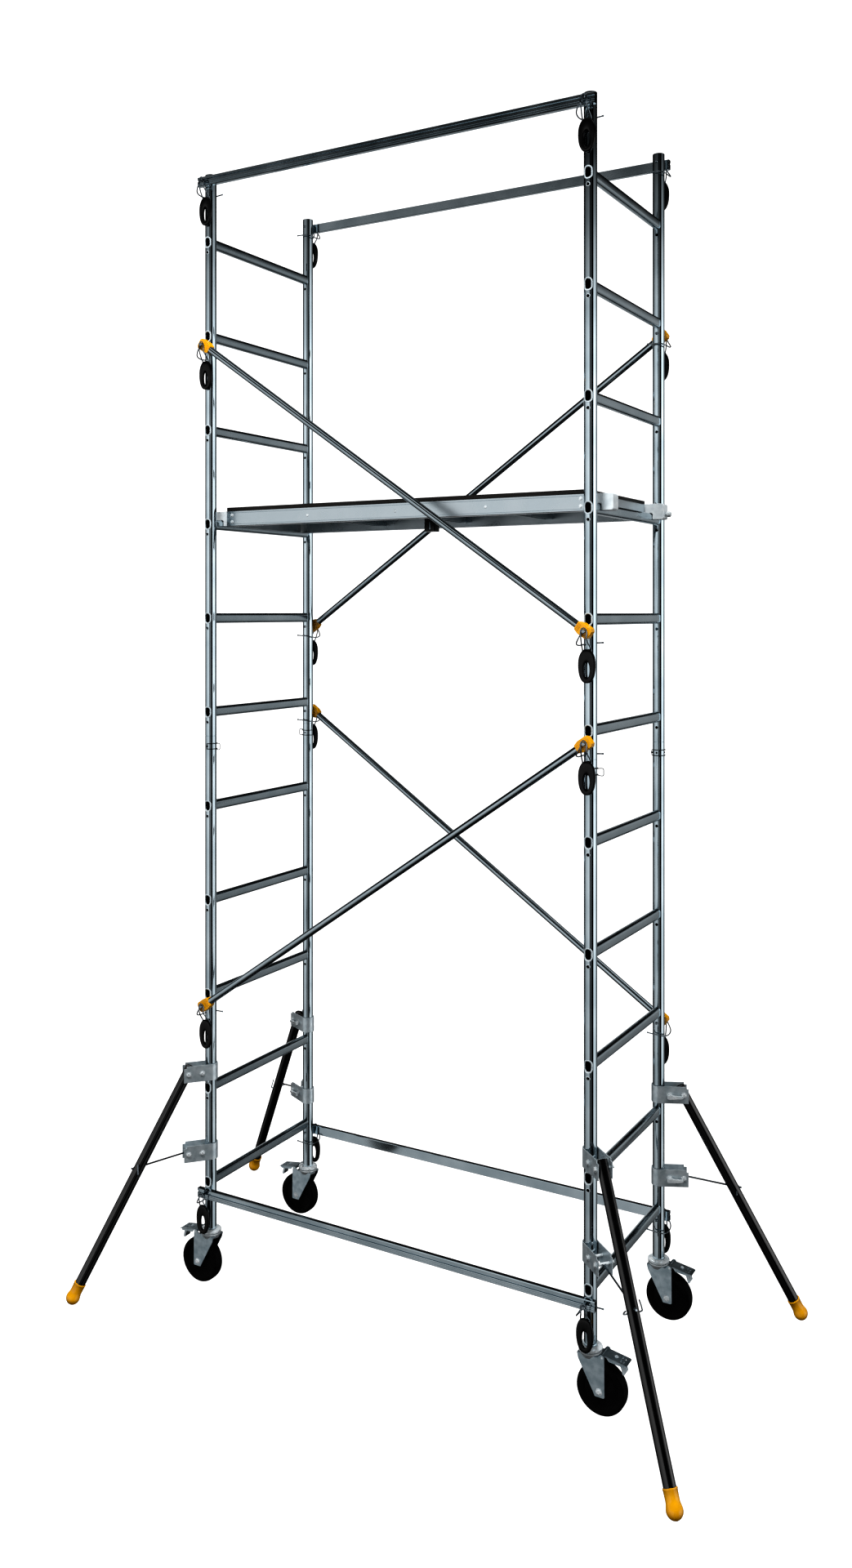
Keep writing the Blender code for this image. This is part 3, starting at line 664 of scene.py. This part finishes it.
def spring_hooks():
    """A hook and a hanging handle for every handle joint."""
    handle, heights = pull_handle(), pin_heights()
    for joint in frame["joints"]:
        if joint["name"].startswith("pull_handle_"):
            name = joint["name"][len("pull_handle_"):]
            corner = "_".join(name.split("_")[-2:])
            out, low = -abs(joint["pos_m"][1] - POSTS[corner].y), joint["pos_m"][2]
            hinge = facing_out(corner, low) @ Matrix.Translation((0, out, 0))
            wires = moved(hook_wires(out, low - heights[name]), facing_out(corner, heights[name]))
            show("spring_hook_" + name, wires, "tower", WIRE_METAL, crease=50.0)
            show("ring_handle_" + name, moved(handle, hinge), joint["child"], HANDLE_PLASTIC,
                 ["clip_handle_" + name], crease=60.0)


# ---- rails and braces

def rail_outline():
    """Section of the rail seen along it: a lip, a groove and a ribbed web."""
    back, face, top = -RAIL_INNER, -RAIL_INNER - RAIL_DEPTH, RAIL_HEIGHT / 2
    outer = [(back, -top + 0.001), (back, top - 0.001), (back - 0.001, top), (face + 0.0015, top),
             (face, top - 0.0015), (face, 0.0065), (face + 0.0006, 0.006), (face + 0.0035, 0.0048),
             (face + 0.0035, 0.0018), (face + 0.0006, 0.0006), (face, 0.0), (face, -0.0035),
             (face + 0.0006, -0.0041), (face, -0.0047), (face, -0.0083), (face + 0.0006, -0.0089),
             (face, -0.0095), (face, 0.0015 - top), (face + 0.0015, -top), (back - 0.001, -top)]
    centre = (back + face) / 2
    inner = [(centre + (a - centre) * 0.7 + 0.0012, b * 0.86) for a, b in outer]
    return outer, inner


def rails():
    """Base and guard rails along the front and the rear."""
    outer, inner = rail_outline()
    half = POSTS["front_right"].x + RAIL_OVERHANG
    section = tube(outer, inner, "X", -half, half)
    for level, height in RAIL_HEIGHTS.items():
        for side in ("front", "rear"):
            turn = facing_out(side + "_right", height).to_3x3().to_4x4()
            place = Matrix.Translation((0, POSTS[side + "_right"].y, height)) @ turn
            name = level + "_rail_" + side
            show(name + "_profile", moved(section, place), "tower", RAIL_METAL, [name],
                 crease=20.0)


def fitting_outline():
    """Side of a moulded brace end: a square nose with cut corners and a slim neck."""
    nose, height = -BRACE_TIP, FITTING_HEIGHT / 2
    neck = FITTING_LENGTH - BRACE_TIP
    return [(nose, -height + 0.006), (nose + 0.006, -height), (0.014, -height),
            (neck - 0.002, -BRACE_R - 0.0022), (neck, -BRACE_R), (neck, BRACE_R),
            (neck - 0.002, BRACE_R + 0.0022), (0.014, height), (nose + 0.006, height),
            (nose, height - 0.006)]


def brace_fitting():
    """Moulded end along +X from its pin, with a raised boss round the pin."""
    depth = BRACE_R + 0.0002
    body = prism(fitting_outline(), "Y", -depth, depth)
    boss = tube(circle(0.0085, 24), circle(0.0037, 24), "Y", -depth - 0.0012, -depth + 0.002)
    ribs = [box((0.0016, 2 * depth + 0.0014, 0.019), (x, 0, 0)) for x in (0.017, 0.0205, 0.024)]
    return body, joined([boss] + ribs)


def braces():
    """Each brace tube with a moulded end over its pin at both ends."""
    outward = -(RAIL_INNER + BRACE_R)
    body, detail = brace_fitting()
    for name, ends in BRACES.items():
        starts = [facing_out(corner, pin_z(rung)) @ Vector((0, outward, 0)) for corner, rung in ends]
        along = starts[1] - starts[0]
        length = along.length
        along.normalize()
        end = length - 2 * BRACE_INSET
        shaft = turned([(BRACE_R, 0.0), (BRACE_R, end), (BRACE_BORE_R, end), (BRACE_BORE_R, 0.0)], 32, True)
        turn = along.to_track_quat("Z", "Y").to_matrix().to_4x4()
        place = Matrix.Translation(starts[0] + along * BRACE_INSET) @ turn
        show("brace_tube_" + name, moved(shaft, place), "tower", BRACE_METAL, ["brace_" + name])
        for start, direction, (corner, _) in zip(starts, (along, -along), ends):
            outside = Vector((0, CORNERS[corner][1], 0))
            up = direction.cross(-outside)
            turn = Matrix((direction, -outside, up)).transposed().to_4x4()
            at = Matrix.Translation(start) @ turn
            piece = name + "_" + corner
            show("brace_end_" + piece, moved(body, at), "tower", END_PLASTIC, bevel=0.0012)
            show("brace_boss_" + piece, moved(detail, at), "tower", END_PLASTIC,
                 bevel=0.0004)


# ---- platform

def deck_heights():
    """Hook seat, top and underside of the platform frame."""
    seat = rung_z(PLATFORM_RUNG) + 0.0145 + 0.0003
    top = seat + 0.0265
    return seat, top, top - SIDE_HEIGHT


def side_profile(side, top, bottom):
    """Edge profile: a smooth outer web with a fine line near each flange."""
    outer, web, flange = DECK_HALF_Y, DECK_HALF_Y - 0.0025, DECK_HALF_Y - 0.02
    outline = [(outer - 0.0015, bottom), (outer, bottom + 0.0015), (outer, bottom + 0.005),
               (outer - 0.0006, bottom + 0.0056), (outer, bottom + 0.0062), (outer, top - 0.0062),
               (outer - 0.0006, top - 0.0056), (outer, top - 0.005), (outer, top - 0.0008),
               (outer - 0.0008, top), (flange, top), (flange, top - 0.0025), (web, top - 0.0025),
               (web, bottom + 0.0025), (flange, bottom + 0.0025), (flange, bottom)]
    return prism([(TOWER_Y + side * a, b) for a, b in outline], "X", -DECK_HALF_X, DECK_HALF_X)


def from_posts(outline, side):
    """An outline measured outwards from the post axes, on the left or the right."""
    return [(side * (POSTS["front_right"].x + a), b) for a, b in outline]


def end_profile(side, top, bottom):
    """End channel between the claws, which stops short of the rung, with rounded outer edges."""
    wall, inner, outer, lip, gap = 0.0025, -0.03, -0.0125, 0.0015, 0.001
    outline = [(inner, bottom), (outer - lip, bottom), (outer, bottom + lip), (outer, top - lip),
               (outer - lip, top), (inner, top), (inner, top - wall), (outer - wall, top - wall),
               (outer - wall, bottom + wall), (inner, bottom + wall)]
    return prism(from_posts(outline, side), "Y", TOWER_Y - DECK_HALF_Y + gap, TOWER_Y + DECK_HALF_Y - gap)


def claw_outline(seat, top, bottom):
    """Side of a claw: rounded outer nose and a throat that drops over the rung."""
    throat = RUNG_SIZE[0] / 2 + 0.0006
    arc = [pi / 2 * k / 5 for k in range(6)]
    nose = [(HOOK_REACH - 0.007 + 0.008 * sin(a), top - 0.0085 + 0.008 * cos(a)) for a in arc]
    tip = [(HOOK_REACH - 0.005 + 0.006 * cos(a), bottom + 0.006 - 0.006 * sin(a)) for a in arc]
    mouth = [(throat + 0.002, bottom), (throat, bottom + 0.002), (throat, seat - 0.003),
             (throat - 0.003, seat)]
    return ([(-0.0295, bottom), (-0.0295, top - 0.0005)] + nose + tip + mouth
            + [(0.003 - throat, seat), (-throat, seat - 0.003), (-throat, bottom + 0.002),
               (-throat - 0.002, bottom)])


def claw(side_x, side_y, seat, top, bottom):
    """One of the four claws that hang the platform on its rungs."""
    outline = from_posts(claw_outline(seat, top, bottom), side_x)
    ends = [TOWER_Y + side_y * (DECK_HALF_Y - 0.0005), TOWER_Y + side_y * (DECK_HALF_Y - HOOK_WIDTH)]
    return prism(outline, "Y", min(ends), max(ends))


def cross_member(x, top):
    """Channel under the board, open downwards."""
    half, wall = 0.013, 0.0025
    bottom = top - 0.03
    outline = [(-half, bottom), (-half, top), (half, top), (half, bottom), (half - wall, bottom),
               (half - wall, top - wall), (wall - half, top - wall), (wall - half, bottom)]
    reach = DECK_HALF_Y - 0.002
    return prism(shifted(outline, x, 0), "Y", TOWER_Y - reach, TOWER_Y + reach)


def platform_bolts(top, bottom):
    """Bolts through the side profiles into the claws, rivets along the cross members and two end knobs."""
    bolts = []
    middle = (top + bottom) / 2
    bolt, rivet = bolt_head(0.0038, 0.003), turned([(0.0042, 0), (0.0036, 0.001), (0.0016, 0.0016)], 20)
    for side_y in (-1, 1):
        y = TOWER_Y + side_y * DECK_HALF_Y
        for x in (-0.565, 0.565):
            bolts += [on_face(bolt, side_y, x, y, z) for z in (middle - 0.01, middle + 0.01)]
        bolts += [on_face(rivet, side_y, x, y, middle) for x in CROSS_MEMBERS]
    knob = [(0.004, 0.0), (0.004, 0.004), (0.0075, 0.0045), (0.008, 0.012), (0.0062, 0.015)]
    for side_x, side_y in ((1, 1), (-1, -1)):
        x = side_x * (POSTS["front_right"].x + HOOK_REACH + 0.001)
        place = Matrix.Translation((x, TOWER_Y + side_y * (DECK_HALF_Y - HOOK_WIDTH / 2), middle - 0.008))
        bolts.append(moved(turned(knob, 18), place @ Matrix.Rotation(side_x * pi / 2, 4, "Y")))
    return joined(bolts)


def platform():
    """Profiles, claws, board and the catch under the middle cross member."""
    seat, top, bottom = deck_heights()
    sides = joined([side_profile(side, top, bottom) for side in (-1, 1)])
    show("platform_sides", sides, "tower", PLATFORM_METAL, ["platform_frame"], crease=20.0)
    ends = [end_profile(side, top - 0.0002, bottom + 0.0002) for side in (-1, 1)]
    show("platform_ends", joined(ends), "tower", PLATFORM_METAL, bevel=0.0005)
    claws = [claw(x, y, seat, top, bottom + 0.0004) for x in (-1, 1) for y in (-1, 1)]
    show("platform_claws", joined(claws), "tower", CLAW_METAL, bevel=0.0012, crease=25.0)
    members = [cross_member(x, top - 0.0004) for x in CROSS_MEMBERS]
    show("platform_cross_members", joined(members), "tower", PLATFORM_METAL, bevel=0.0004)
    show("platform_bolts", platform_bolts(top, bottom), "tower", BOLT_METAL, crease=30.0)
    size = (2 * DECK_HALF_X, 2 * DECK_HALF_Y, DECK_THICKNESS)
    deck = box(size, (0, TOWER_Y, top + 0.0003 + DECK_THICKNESS / 2))
    show("platform_board", deck, "tower", DECK_FILM, ["platform_deck"], bevel=0.001)
    x, catch_top = CROSS_MEMBERS[1], top - 0.0304 - 0.0003
    body = prism(shifted(rounded(0.036, 0.03, 0.004), x, TOWER_Y), "Z", catch_top - 0.038, catch_top)
    slit = box((0.005, 0.04, 0.022), (x, TOWER_Y, catch_top - 0.021))
    show("platform_catch_body", cut(body, slit), "tower", HANDLE_PLASTIC,
         ["platform_catch"], bevel=0.0008)
    tongue = box((0.004, 0.026, 0.026), (x, TOWER_Y, catch_top - 0.019))
    show("platform_catch_tongue", tongue, "tower", WIRE_METAL, bevel=0.0005)


# ---- castors

def fork_cheek():
    """Side plate: upright rear edge, slanted front edge and a foot with rounded corners."""
    hinge_x, hinge_z = PEDAL_HINGE
    corner = 0.0045
    foot = []
    for x, start in ((0.0105, 0.0), (-0.0085, -pi / 2)):
        angles = [start - pi / 8 * k for k in range(5)]
        foot += [(TRAIL + x + corner * cos(a), 0.0555 + corner * sin(a)) for a in angles]
    angles = [pi * 0.85 - pi * 0.85 * k / 6 for k in range(7)]
    cap = [(hinge_x - 0.0015 + 0.007 * cos(a), hinge_z - 0.001 + 0.007 * sin(a)) for a in angles]
    outline = [(-0.0275, 0.1485), (hinge_x - 0.012, 0.149)] + cap
    outline += [(0.0465, 0.12)] + foot + [(-0.024, 0.134)]
    return prism(outline, "Y", -CHEEK_THICKNESS / 2, CHEEK_THICKNESS / 2)


def fork_body():
    """The two cheeks and the crown plate between them."""
    middle = CHEEK_Y + CHEEK_THICKNESS / 2
    cheeks = [moved(fork_cheek(), Matrix.Translation((0, side * middle, 0))) for side in (-1, 1)]
    rear, front, bottom, top = -0.0275, 0.03, 0.1455, 0.1485
    crown = prism([(rear, bottom), (rear, top), (front, top), (front, bottom)], "Y", -middle, middle)
    return joined(cheeks + [crown])


def swivel_head():
    """Ball races over the crown and the stem in the post."""
    profile = [(0.0245, 0.1395), (0.0262, 0.144), (0.029, 0.1486), (0.0298, 0.15), (0.0298, 0.1525),
               (0.0288, 0.154), (0.0262, 0.1545), (0.0262, 0.1556), (0.03, 0.1562), (0.031, 0.1576),
               (0.031, 0.16), (0.0298, 0.1618), (0.024, 0.1632), (0.019, 0.1637), (0.0139, 0.1637),
               (0.0139, 0.213), (0.0125, 0.215)]
    return turned(profile, 48)


def fork_bolts():
    """Axle bolt with its heads and the pedal pivot."""
    outside = CHEEK_Y + CHEEK_THICKNESS
    axle = prism(shifted(circle(0.006, 20), TRAIL, WHEEL_R), "Y", -outside, outside)
    pivot = prism(shifted(circle(0.0026, 16), *PEDAL_HINGE), "Y", -outside - 0.0012, outside + 0.0012)
    head = bolt_head(0.0058, 0.004)
    return joined([axle, pivot] + [on_face(head, side, TRAIL, side * outside, WHEEL_R) for side in (-1, 1)])


def castor_wheel():
    """Tyre, stepped disc and hub, turned about the axle."""
    half = [(0.0068, 0.02), (0.0125, 0.02), (0.0135, 0.019), (0.0145, 0.0145), (0.018, 0.013),
            (0.042, 0.013), (0.044, 0.0142), (0.046, 0.016), (0.0475, 0.016), (0.0482, 0.0166),
            (0.054, 0.018), (0.06, 0.017), (0.0635, 0.014), (0.0648, 0.0095), (WHEEL_R, 0.004)]
    profile = half + [(radius, -side) for radius, side in reversed(half)]
    rings = [[(TRAIL + a, side, WHEEL_R + b) for a, b in circle(radius, 72, pi / 2)] for radius,
             side in profile]
    return loft(rings, closed=True)


def brake_pedal():
    """Pressed pedal between the cheeks with turned-down sides and slots."""
    hinge_x, hinge_z = PEDAL_HINGE
    half = 0.0188
    barrel = prism(shifted(circle(0.0042, 20), hinge_x, hinge_z), "Y", -0.0193, 0.0193)
    plate = [(hinge_x, hinge_z + 0.0034), (0.052, 0.1545), (0.099, 0.1472), (0.103, 0.145), (0.1022, 0.1428),
             (0.0985, 0.1449), (0.052, 0.1522), (hinge_x, hinge_z + 0.001)]
    skirt = [(0.048, 0.1542), (0.098, 0.1466), (0.095, 0.1405), (0.056, 0.144)]
    sides = [prism(skirt, "Y", min(a, b), max(a, b)) for a, b in ((half, half - 0.002),
                                                                  (-half, 0.002 - half))]
    slots = [box((0.0035, 0.009, 0.02), (x, y, 0.147)) for x in (0.084, 0.092) for y in (-0.008, 0.008)]
    return joined([cut(prism(plate, "Y", -half, half), joined(slots)), barrel] + sides)


def brake_tab():
    """Bent tab under the tip of the pedal with its bolt."""
    tab = [(0.08, 0.1465), (0.089, 0.1455), (0.093, 0.133), (0.0965, 0.1215), (0.0945, 0.1185),
           (0.091, 0.118), (0.0895, 0.12), (0.087, 0.13)]
    head = moved(bolt_head(0.0036, 0.003), Matrix.Translation((0.07, 0, 0.1518)) @ Matrix.Rotation(0.15, 4,
                                                                                                   "Y"))
    return joined([prism(tab, "Y", -0.012, 0.012), head])


def castors():
    """A castor under every post, trailing away from the middle of the tower."""
    kinds = {
        "cheeks": (fork_body(), "fork_", FORK_METAL, "steel", "castor_fork_", 0.0007),
        "swivel": (swivel_head(), "fork_", BOLT_METAL, "steel", None, 0.0),
        "axle": (fork_bolts(), "fork_", BOLT_METAL, "steel", None, 0.0),
        "tyre": (castor_wheel(), "wheel_", TYRE_RUBBER, "rubber", "castor_wheel_", 0.0),
        "pedal": (brake_pedal(), "pedal_", FORK_METAL, "steel", "castor_pedal_", 0.0004),
        "brake_tab": (brake_tab(), "pedal_", BRACKET_METAL, "steel", None, 0.0004),
    }
    for corner, (side_x, _) in CORNERS.items():
        turn = Matrix.Rotation(0.0 if side_x > 0 else pi, 4, "Z")
        place = Matrix.Translation((POSTS[corner].x, POSTS[corner].y, 0)) @ turn
        for kind, (mesh, body, material, slot, node, bevel) in kinds.items():
            hides = [node + corner] if node else []
            show("castor_" + kind + "_" + corner + "_look", moved(mesh, place), body + corner, material,
                 hides, bevel, 30.0)


# ---- outriggers

def bracket_strap():
    """Sheet folded round the post with two parallel cheeks."""
    inner, outer = BRACKET_INNER, BRACKET_INNER + BRACKET_THICKNESS
    bends = [pi / 2 + pi * i / 24 for i in range(25)]
    outside = [(outer * cos(a), outer * sin(a)) for a in bends]
    inside = [(inner * cos(a), inner * sin(a)) for a in reversed(bends)]
    outline = [(BRACKET_LENGTH, outer)] + outside + [(BRACKET_LENGTH, -outer), (BRACKET_LENGTH, -inner)]
    outline += inside + [(BRACKET_LENGTH, inner)]
    half = BRACKET_HEIGHT / 2
    strap = prism(outline, "Z", -half, half)
    notch = box((0.012, 0.1, 0.009), (BRACKET_LENGTH - 0.002, 0, half - 0.002))
    return cut(strap, notch)


def bracket_bolts(lever_side):
    """Clamp and pivot bolts, with the cam lever on one side."""
    outer = BRACKET_INNER + BRACKET_THICKNESS
    parts = []
    for x in (CLAMP_BOLT_X, PIVOT_X):
        parts.append(prism(shifted(circle(0.004, 16), x, 0), "Y", -outer, outer))
        parts += [on_face(bolt_head(0.0056, 0.005), side, x, side * outer, 0) for side in (-1, 1)]
    lever = [(-0.008, -0.0035), (-0.006, 0.0045), (0.004, 0.0055), (0.014, 0.003), (0.036, 0.002),
             (0.038, -0.001), (0.036, -0.004), (0.012, -0.006), (-0.004, -0.0068)]
    near = outer + 0.0045
    y = sorted((lever_side * near, lever_side * (near + 0.008)))
    parts.append(prism(shifted(lever, CLAMP_BOLT_X, -0.002), "Y", *y))
    return joined(parts)


def leg_ends(reach):
    """Pivot and foot centre of a leg in the outrigger frame."""
    return Vector((PIVOT_X, 0, BRACKET_Z["upper"])), Vector((reach, 0, FOOT_R))


def leg_frame(reach):
    """Frame at the foot centre with +Z up along the leg."""
    pivot, foot = leg_ends(reach)
    along = (pivot - foot).normalized()
    across = Vector((0, 1, 0))
    turn = Matrix((across.cross(along), across, along)).transposed().to_4x4()
    return Matrix.Translation(foot) @ turn, (pivot - foot).length


def leg_tube(reach):
    """Painted tube with a pin hole at its pivot and a plug in its upper end."""
    place, length = leg_frame(reach)
    top = length + LEG_TOP
    shaft = turned([(LEG_R, LEG_END_GAP), (LEG_R, top - 0.0006), (LEG_R - 0.0006, top), (LEG_BORE_R, top),
                    (LEG_BORE_R, LEG_END_GAP)], 40, closed=True)
    hole = prism(shifted(circle(0.0044, 16), 0, length), "Y", -0.03, 0.03)
    plug_r = LEG_BORE_R - 0.0002
    plug = turned([(plug_r, top - 0.01), (plug_r, top - 0.0012), (0.011, top - 0.0004)], 32)
    return moved(joined([cut(shaft, hole), plug]), place)


def strut_wire(reach):
    """Wire from the lower bracket through the leg, with a spring hook across the leg that holds it."""
    pivot, foot = leg_ends(reach)
    joint = pivot.lerp(foot, STRUT_ALONG_LEG)
    start = Vector((PIVOT_X + 0.0065, 0, BRACKET_Z["lower"]))
    along = (joint - start).normalized()
    beyond = joint + along * (LEG_R + 0.005)
    up = Vector((0, 0, 1))
    path = [start, start.lerp(joint, 0.5), joint, beyond, beyond + along * 0.004 + up * 0.003]
    angles = [pi * k / 6 for k in range(-5, 6)]
    eye = [start + Vector((0.004 * (cos(a) - 1), 0.0085 * sin(a) * 0.6, 0)) for a in angles]
    turn = along.to_track_quat("Z", "Y").to_matrix().to_4x4()
    disc = turned([(0.0048, -0.0012), (0.0048, 0.0012)], 20)
    stop = moved(disc, Matrix.Translation(beyond - along * 0.003) @ turn)
    held = pivot.lerp(foot, STRUT_ALONG_LEG + 0.022)
    bends = ((0.016, 0.026), (0.023, 0.006), (0.02, -0.002), (-0.02, -0.002), (-0.025, 0.001),
             (-0.019, 0.006))
    hook = curved([held + Vector((0, y, z)) for y, z in bends])
    return joined([wire(curved(path, 8), STRUT_R, 14), wire(eye), wire(hook), stop])


def leg_foot(reach):
    """Ball foot with a sleeve, a lip at its mouth and a neck over the ball."""
    place, _ = leg_frame(reach)
    angles = [-radians(73) + radians(88) * k / 12 for k in range(13)]
    ball = [(BALL_R * cos(a), BALL_R * sin(a)) for a in angles]
    sleeve = [(0.0176, 0.011), (0.0166, 0.015), (0.0164, 0.02), (0.0168, 0.0385), (0.0174, 0.0392),
              (0.0175, 0.0425), (0.0169, 0.043), (0.0153, 0.043), (0.0153, 0.0152)]
    return moved(turned([(0.003, -BALL_R)] + ball + sleeve, 48), place)


def outriggers():
    """A leg with its foot and strut wire, held by two brackets, at every post."""
    strap = bracket_strap()
    for corner in CORNERS:
        place = outrigger_frame(corner)
        tube_mesh, foot, strut = (make(REACH[corner]) for make in (leg_tube, leg_foot, strut_wire))
        leg, bracket = "leg_" + corner, "outrigger_" + corner
        show("leg_tube_" + corner, moved(tube_mesh, place), leg, LEG_PAINT,
             ["outrigger_leg_" + corner])
        show("leg_foot_" + corner, moved(foot, place), leg, END_PLASTIC,
             ["outrigger_foot_" + corner], crease=40.0)
        show("leg_strut_" + corner, moved(strut, place), leg, WIRE_METAL, crease=50.0)
        for level, height in BRACKET_Z.items():
            at = place @ Matrix.Translation((0, 0, height))
            name = level + "_bracket_" + corner
            show("strap_" + name, moved(strap, at), bracket, BRACKET_METAL,
                 ["outrigger_" + name], bevel=0.0006)
            show("bolts_" + name, moved(bracket_bolts(LEVER_SIDE[corner]), at), bracket, BOLT_METAL,
                 bevel=0.0005)


# ---- studio

CAMERA_SIDE = 59.7             # degrees clockwise from +X to the camera, seen from above
FLOOR_R = 6.0
FLOOR_FADE = (1.2, 3.0)        # distances over which the floor fades out

# Brightness of the studio round the object, by share of a turn counted from behind it
AROUND = [(0.000, 0.4), (0.09, 0.4), (0.1, 0.002), (0.195, 0.002), (0.203, 0.5), (0.39, 0.8),
          (0.44, 0.8), (0.446, 0.002), (0.484, 0.002), (0.49, 0.28), (0.523, 0.34), (0.529, 0.001),
          (0.616, 0.001), (0.622, 1.1), (0.75, 1.3), (0.77, 0.6), (0.775, 0.001), (0.795, 0.001),
          (0.8, 0.3), (0.872, 0.3), (0.88, 0.001), (0.91, 0.001), (0.92, 0.4)]
# Share of that brightness by height, from straight down to straight up
UPWARD = [(0.00, 0.02), (0.12, 0.04), (0.26, 0.4), (0.4, 0.8), (0.5, 1.00), (0.6, 1.00),
          (0.635, 0.4), (0.67, 0.03), (0.85, 0.02), (0.88, 0.9), (0.94, 0.9), (0.97, 0.05)]


def floor():
    """Pale round floor that fades out away from the object."""
    disc = loft([[(x, y, 0) for x, y in circle(radius, 96)] for radius in (0.01, FLOOR_R)])
    data = bpy.data.objects.new("floor", disc)
    bpy.context.scene.collection.objects.link(data)
    data.visible_glossy = False
    data.visible_diffuse = False
    material, shader = principled("floor", (0.35, 0.35, 0.35), 0.0, 0.9)
    fill(shader, {"Emission Color": (1, 1, 1, 1), "Emission Strength": 0.93})
    nodes, links = material.node_tree.nodes, material.node_tree.links
    coordinates = nodes.new("ShaderNodeTexCoord")
    distance = nodes.new("ShaderNodeVectorMath")
    distance.operation = "LENGTH"
    fade = map_range(nodes, FLOOR_FADE, (1.0, 0.0))
    fade.interpolation_type = "SMOOTHSTEP"
    links.new(coordinates.outputs["Object"], distance.inputs[0])
    links.new(distance.outputs["Value"], fade.inputs["Value"])
    links.new(fade.outputs["Result"], shader.inputs["Alpha"])
    data.data.materials.append(material)


def stepped(nodes, stops):
    """A grey ramp with the given stops."""
    ramp = nodes.new("ShaderNodeValToRGB")
    elements = ramp.color_ramp.elements
    while len(elements) < len(stops):
        elements.new(0.5)
    for element, (position, value) in zip(elements, stops):
        element.position = position
        element.color = (value, value, value, 1)
    return ramp


def studio_world():
    """Softboxes and dark flags that stand round the object, and a white backdrop for the camera."""
    world = bpy.data.worlds.new("studio")
    bpy.context.scene.world = world
    world.use_nodes = True
    nodes, links = world.node_tree.nodes, world.node_tree.links
    nodes.clear()
    coordinates = nodes.new("ShaderNodeTexCoord")
    turn = nodes.new("ShaderNodeMapping")
    fill(turn, {"Rotation": (0, 0, radians(CAMERA_SIDE))})
    gradient = nodes.new("ShaderNodeTexGradient")
    gradient.gradient_type = "RADIAL"
    height = nodes.new("ShaderNodeSeparateXYZ")
    share = map_range(nodes, (-1.0, 1.0), (0.0, 1.0))
    around, upward = stepped(nodes, AROUND), stepped(nodes, UPWARD)
    lit = nodes.new("ShaderNodeMix")
    lit.data_type = "RGBA"
    lit.blend_type = "MULTIPLY"
    lit.inputs[0].default_value = 1.0
    room = nodes.new("ShaderNodeBackground")
    backdrop = nodes.new("ShaderNodeBackground")
    output = nodes.new("ShaderNodeOutputWorld")
    path = nodes.new("ShaderNodeLightPath")
    mix = nodes.new("ShaderNodeMixShader")
    fill(backdrop, {"Color": (1, 1, 1, 1)})
    joins = ((coordinates, "Generated", turn, "Vector"), (turn, "Vector", gradient, "Vector"),
             (gradient, "Fac", around, "Fac"), (coordinates, "Generated", height, "Vector"),
             (height, "Z", share, "Value"), (share, "Result", upward, "Fac"), (around, "Color", lit, 6),
             (upward, "Color", lit, 7), (lit, 2, room, "Color"), (path, "Is Camera Ray", mix, 0),
             (room, "Background", mix, 1), (backdrop, "Background", mix, 2),
             (mix, "Shader", output, "Surface"))
    for source, result, target, socket in joins:
        links.new(source.outputs[result], target.inputs[socket])


def lamp(name, location, size, power):
    """Soft rectangular light aimed at the middle of the tower."""
    light = bpy.data.lights.new(name, "AREA")
    light.shape = "RECTANGLE"
    light.size, light.size_y = size
    light.energy = power
    item = bpy.data.objects.new(name, light)
    item.location = location
    aim = Vector((0, 0, 1.5)) - Vector(location)
    item.rotation_euler = aim.to_track_quat("-Z", "Y").to_euler()
    item.visible_glossy = False
    bpy.context.scene.collection.objects.link(item)


def camera():
    """Camera at eye height in front of the right-hand posts, turned towards the tower."""
    data = bpy.data.cameras.new("camera")
    data.sensor_width = 36.0
    data.lens = 29.35
    data.shift_y = -0.1096
    item = bpy.data.objects.new("camera", data)
    item.location = (1.8586, -3.1802, 2.0039)
    item.rotation_euler = (radians(90), 0, radians(29.99))
    bpy.context.scene.collection.objects.link(item)
    bpy.context.scene.camera = item


ladder_frames()
lock_clips()
spring_hooks()
rails()
braces()
platform()
castors()
outriggers()
floor()
studio_world()
lamp("key", (0.3, -3.4, 7.0), (1.4, 1.4), 420)
lamp("fill", (4.5, -1.5, 6.5), (1.2, 1.2), 160)
lamp("back", (-2.5, 4.5, 6.0), (1.4, 1.4), 300)
camera()
bpy.context.scene.view_settings.view_transform = "Standard"
bpy.context.scene.view_settings.look = "High Contrast"
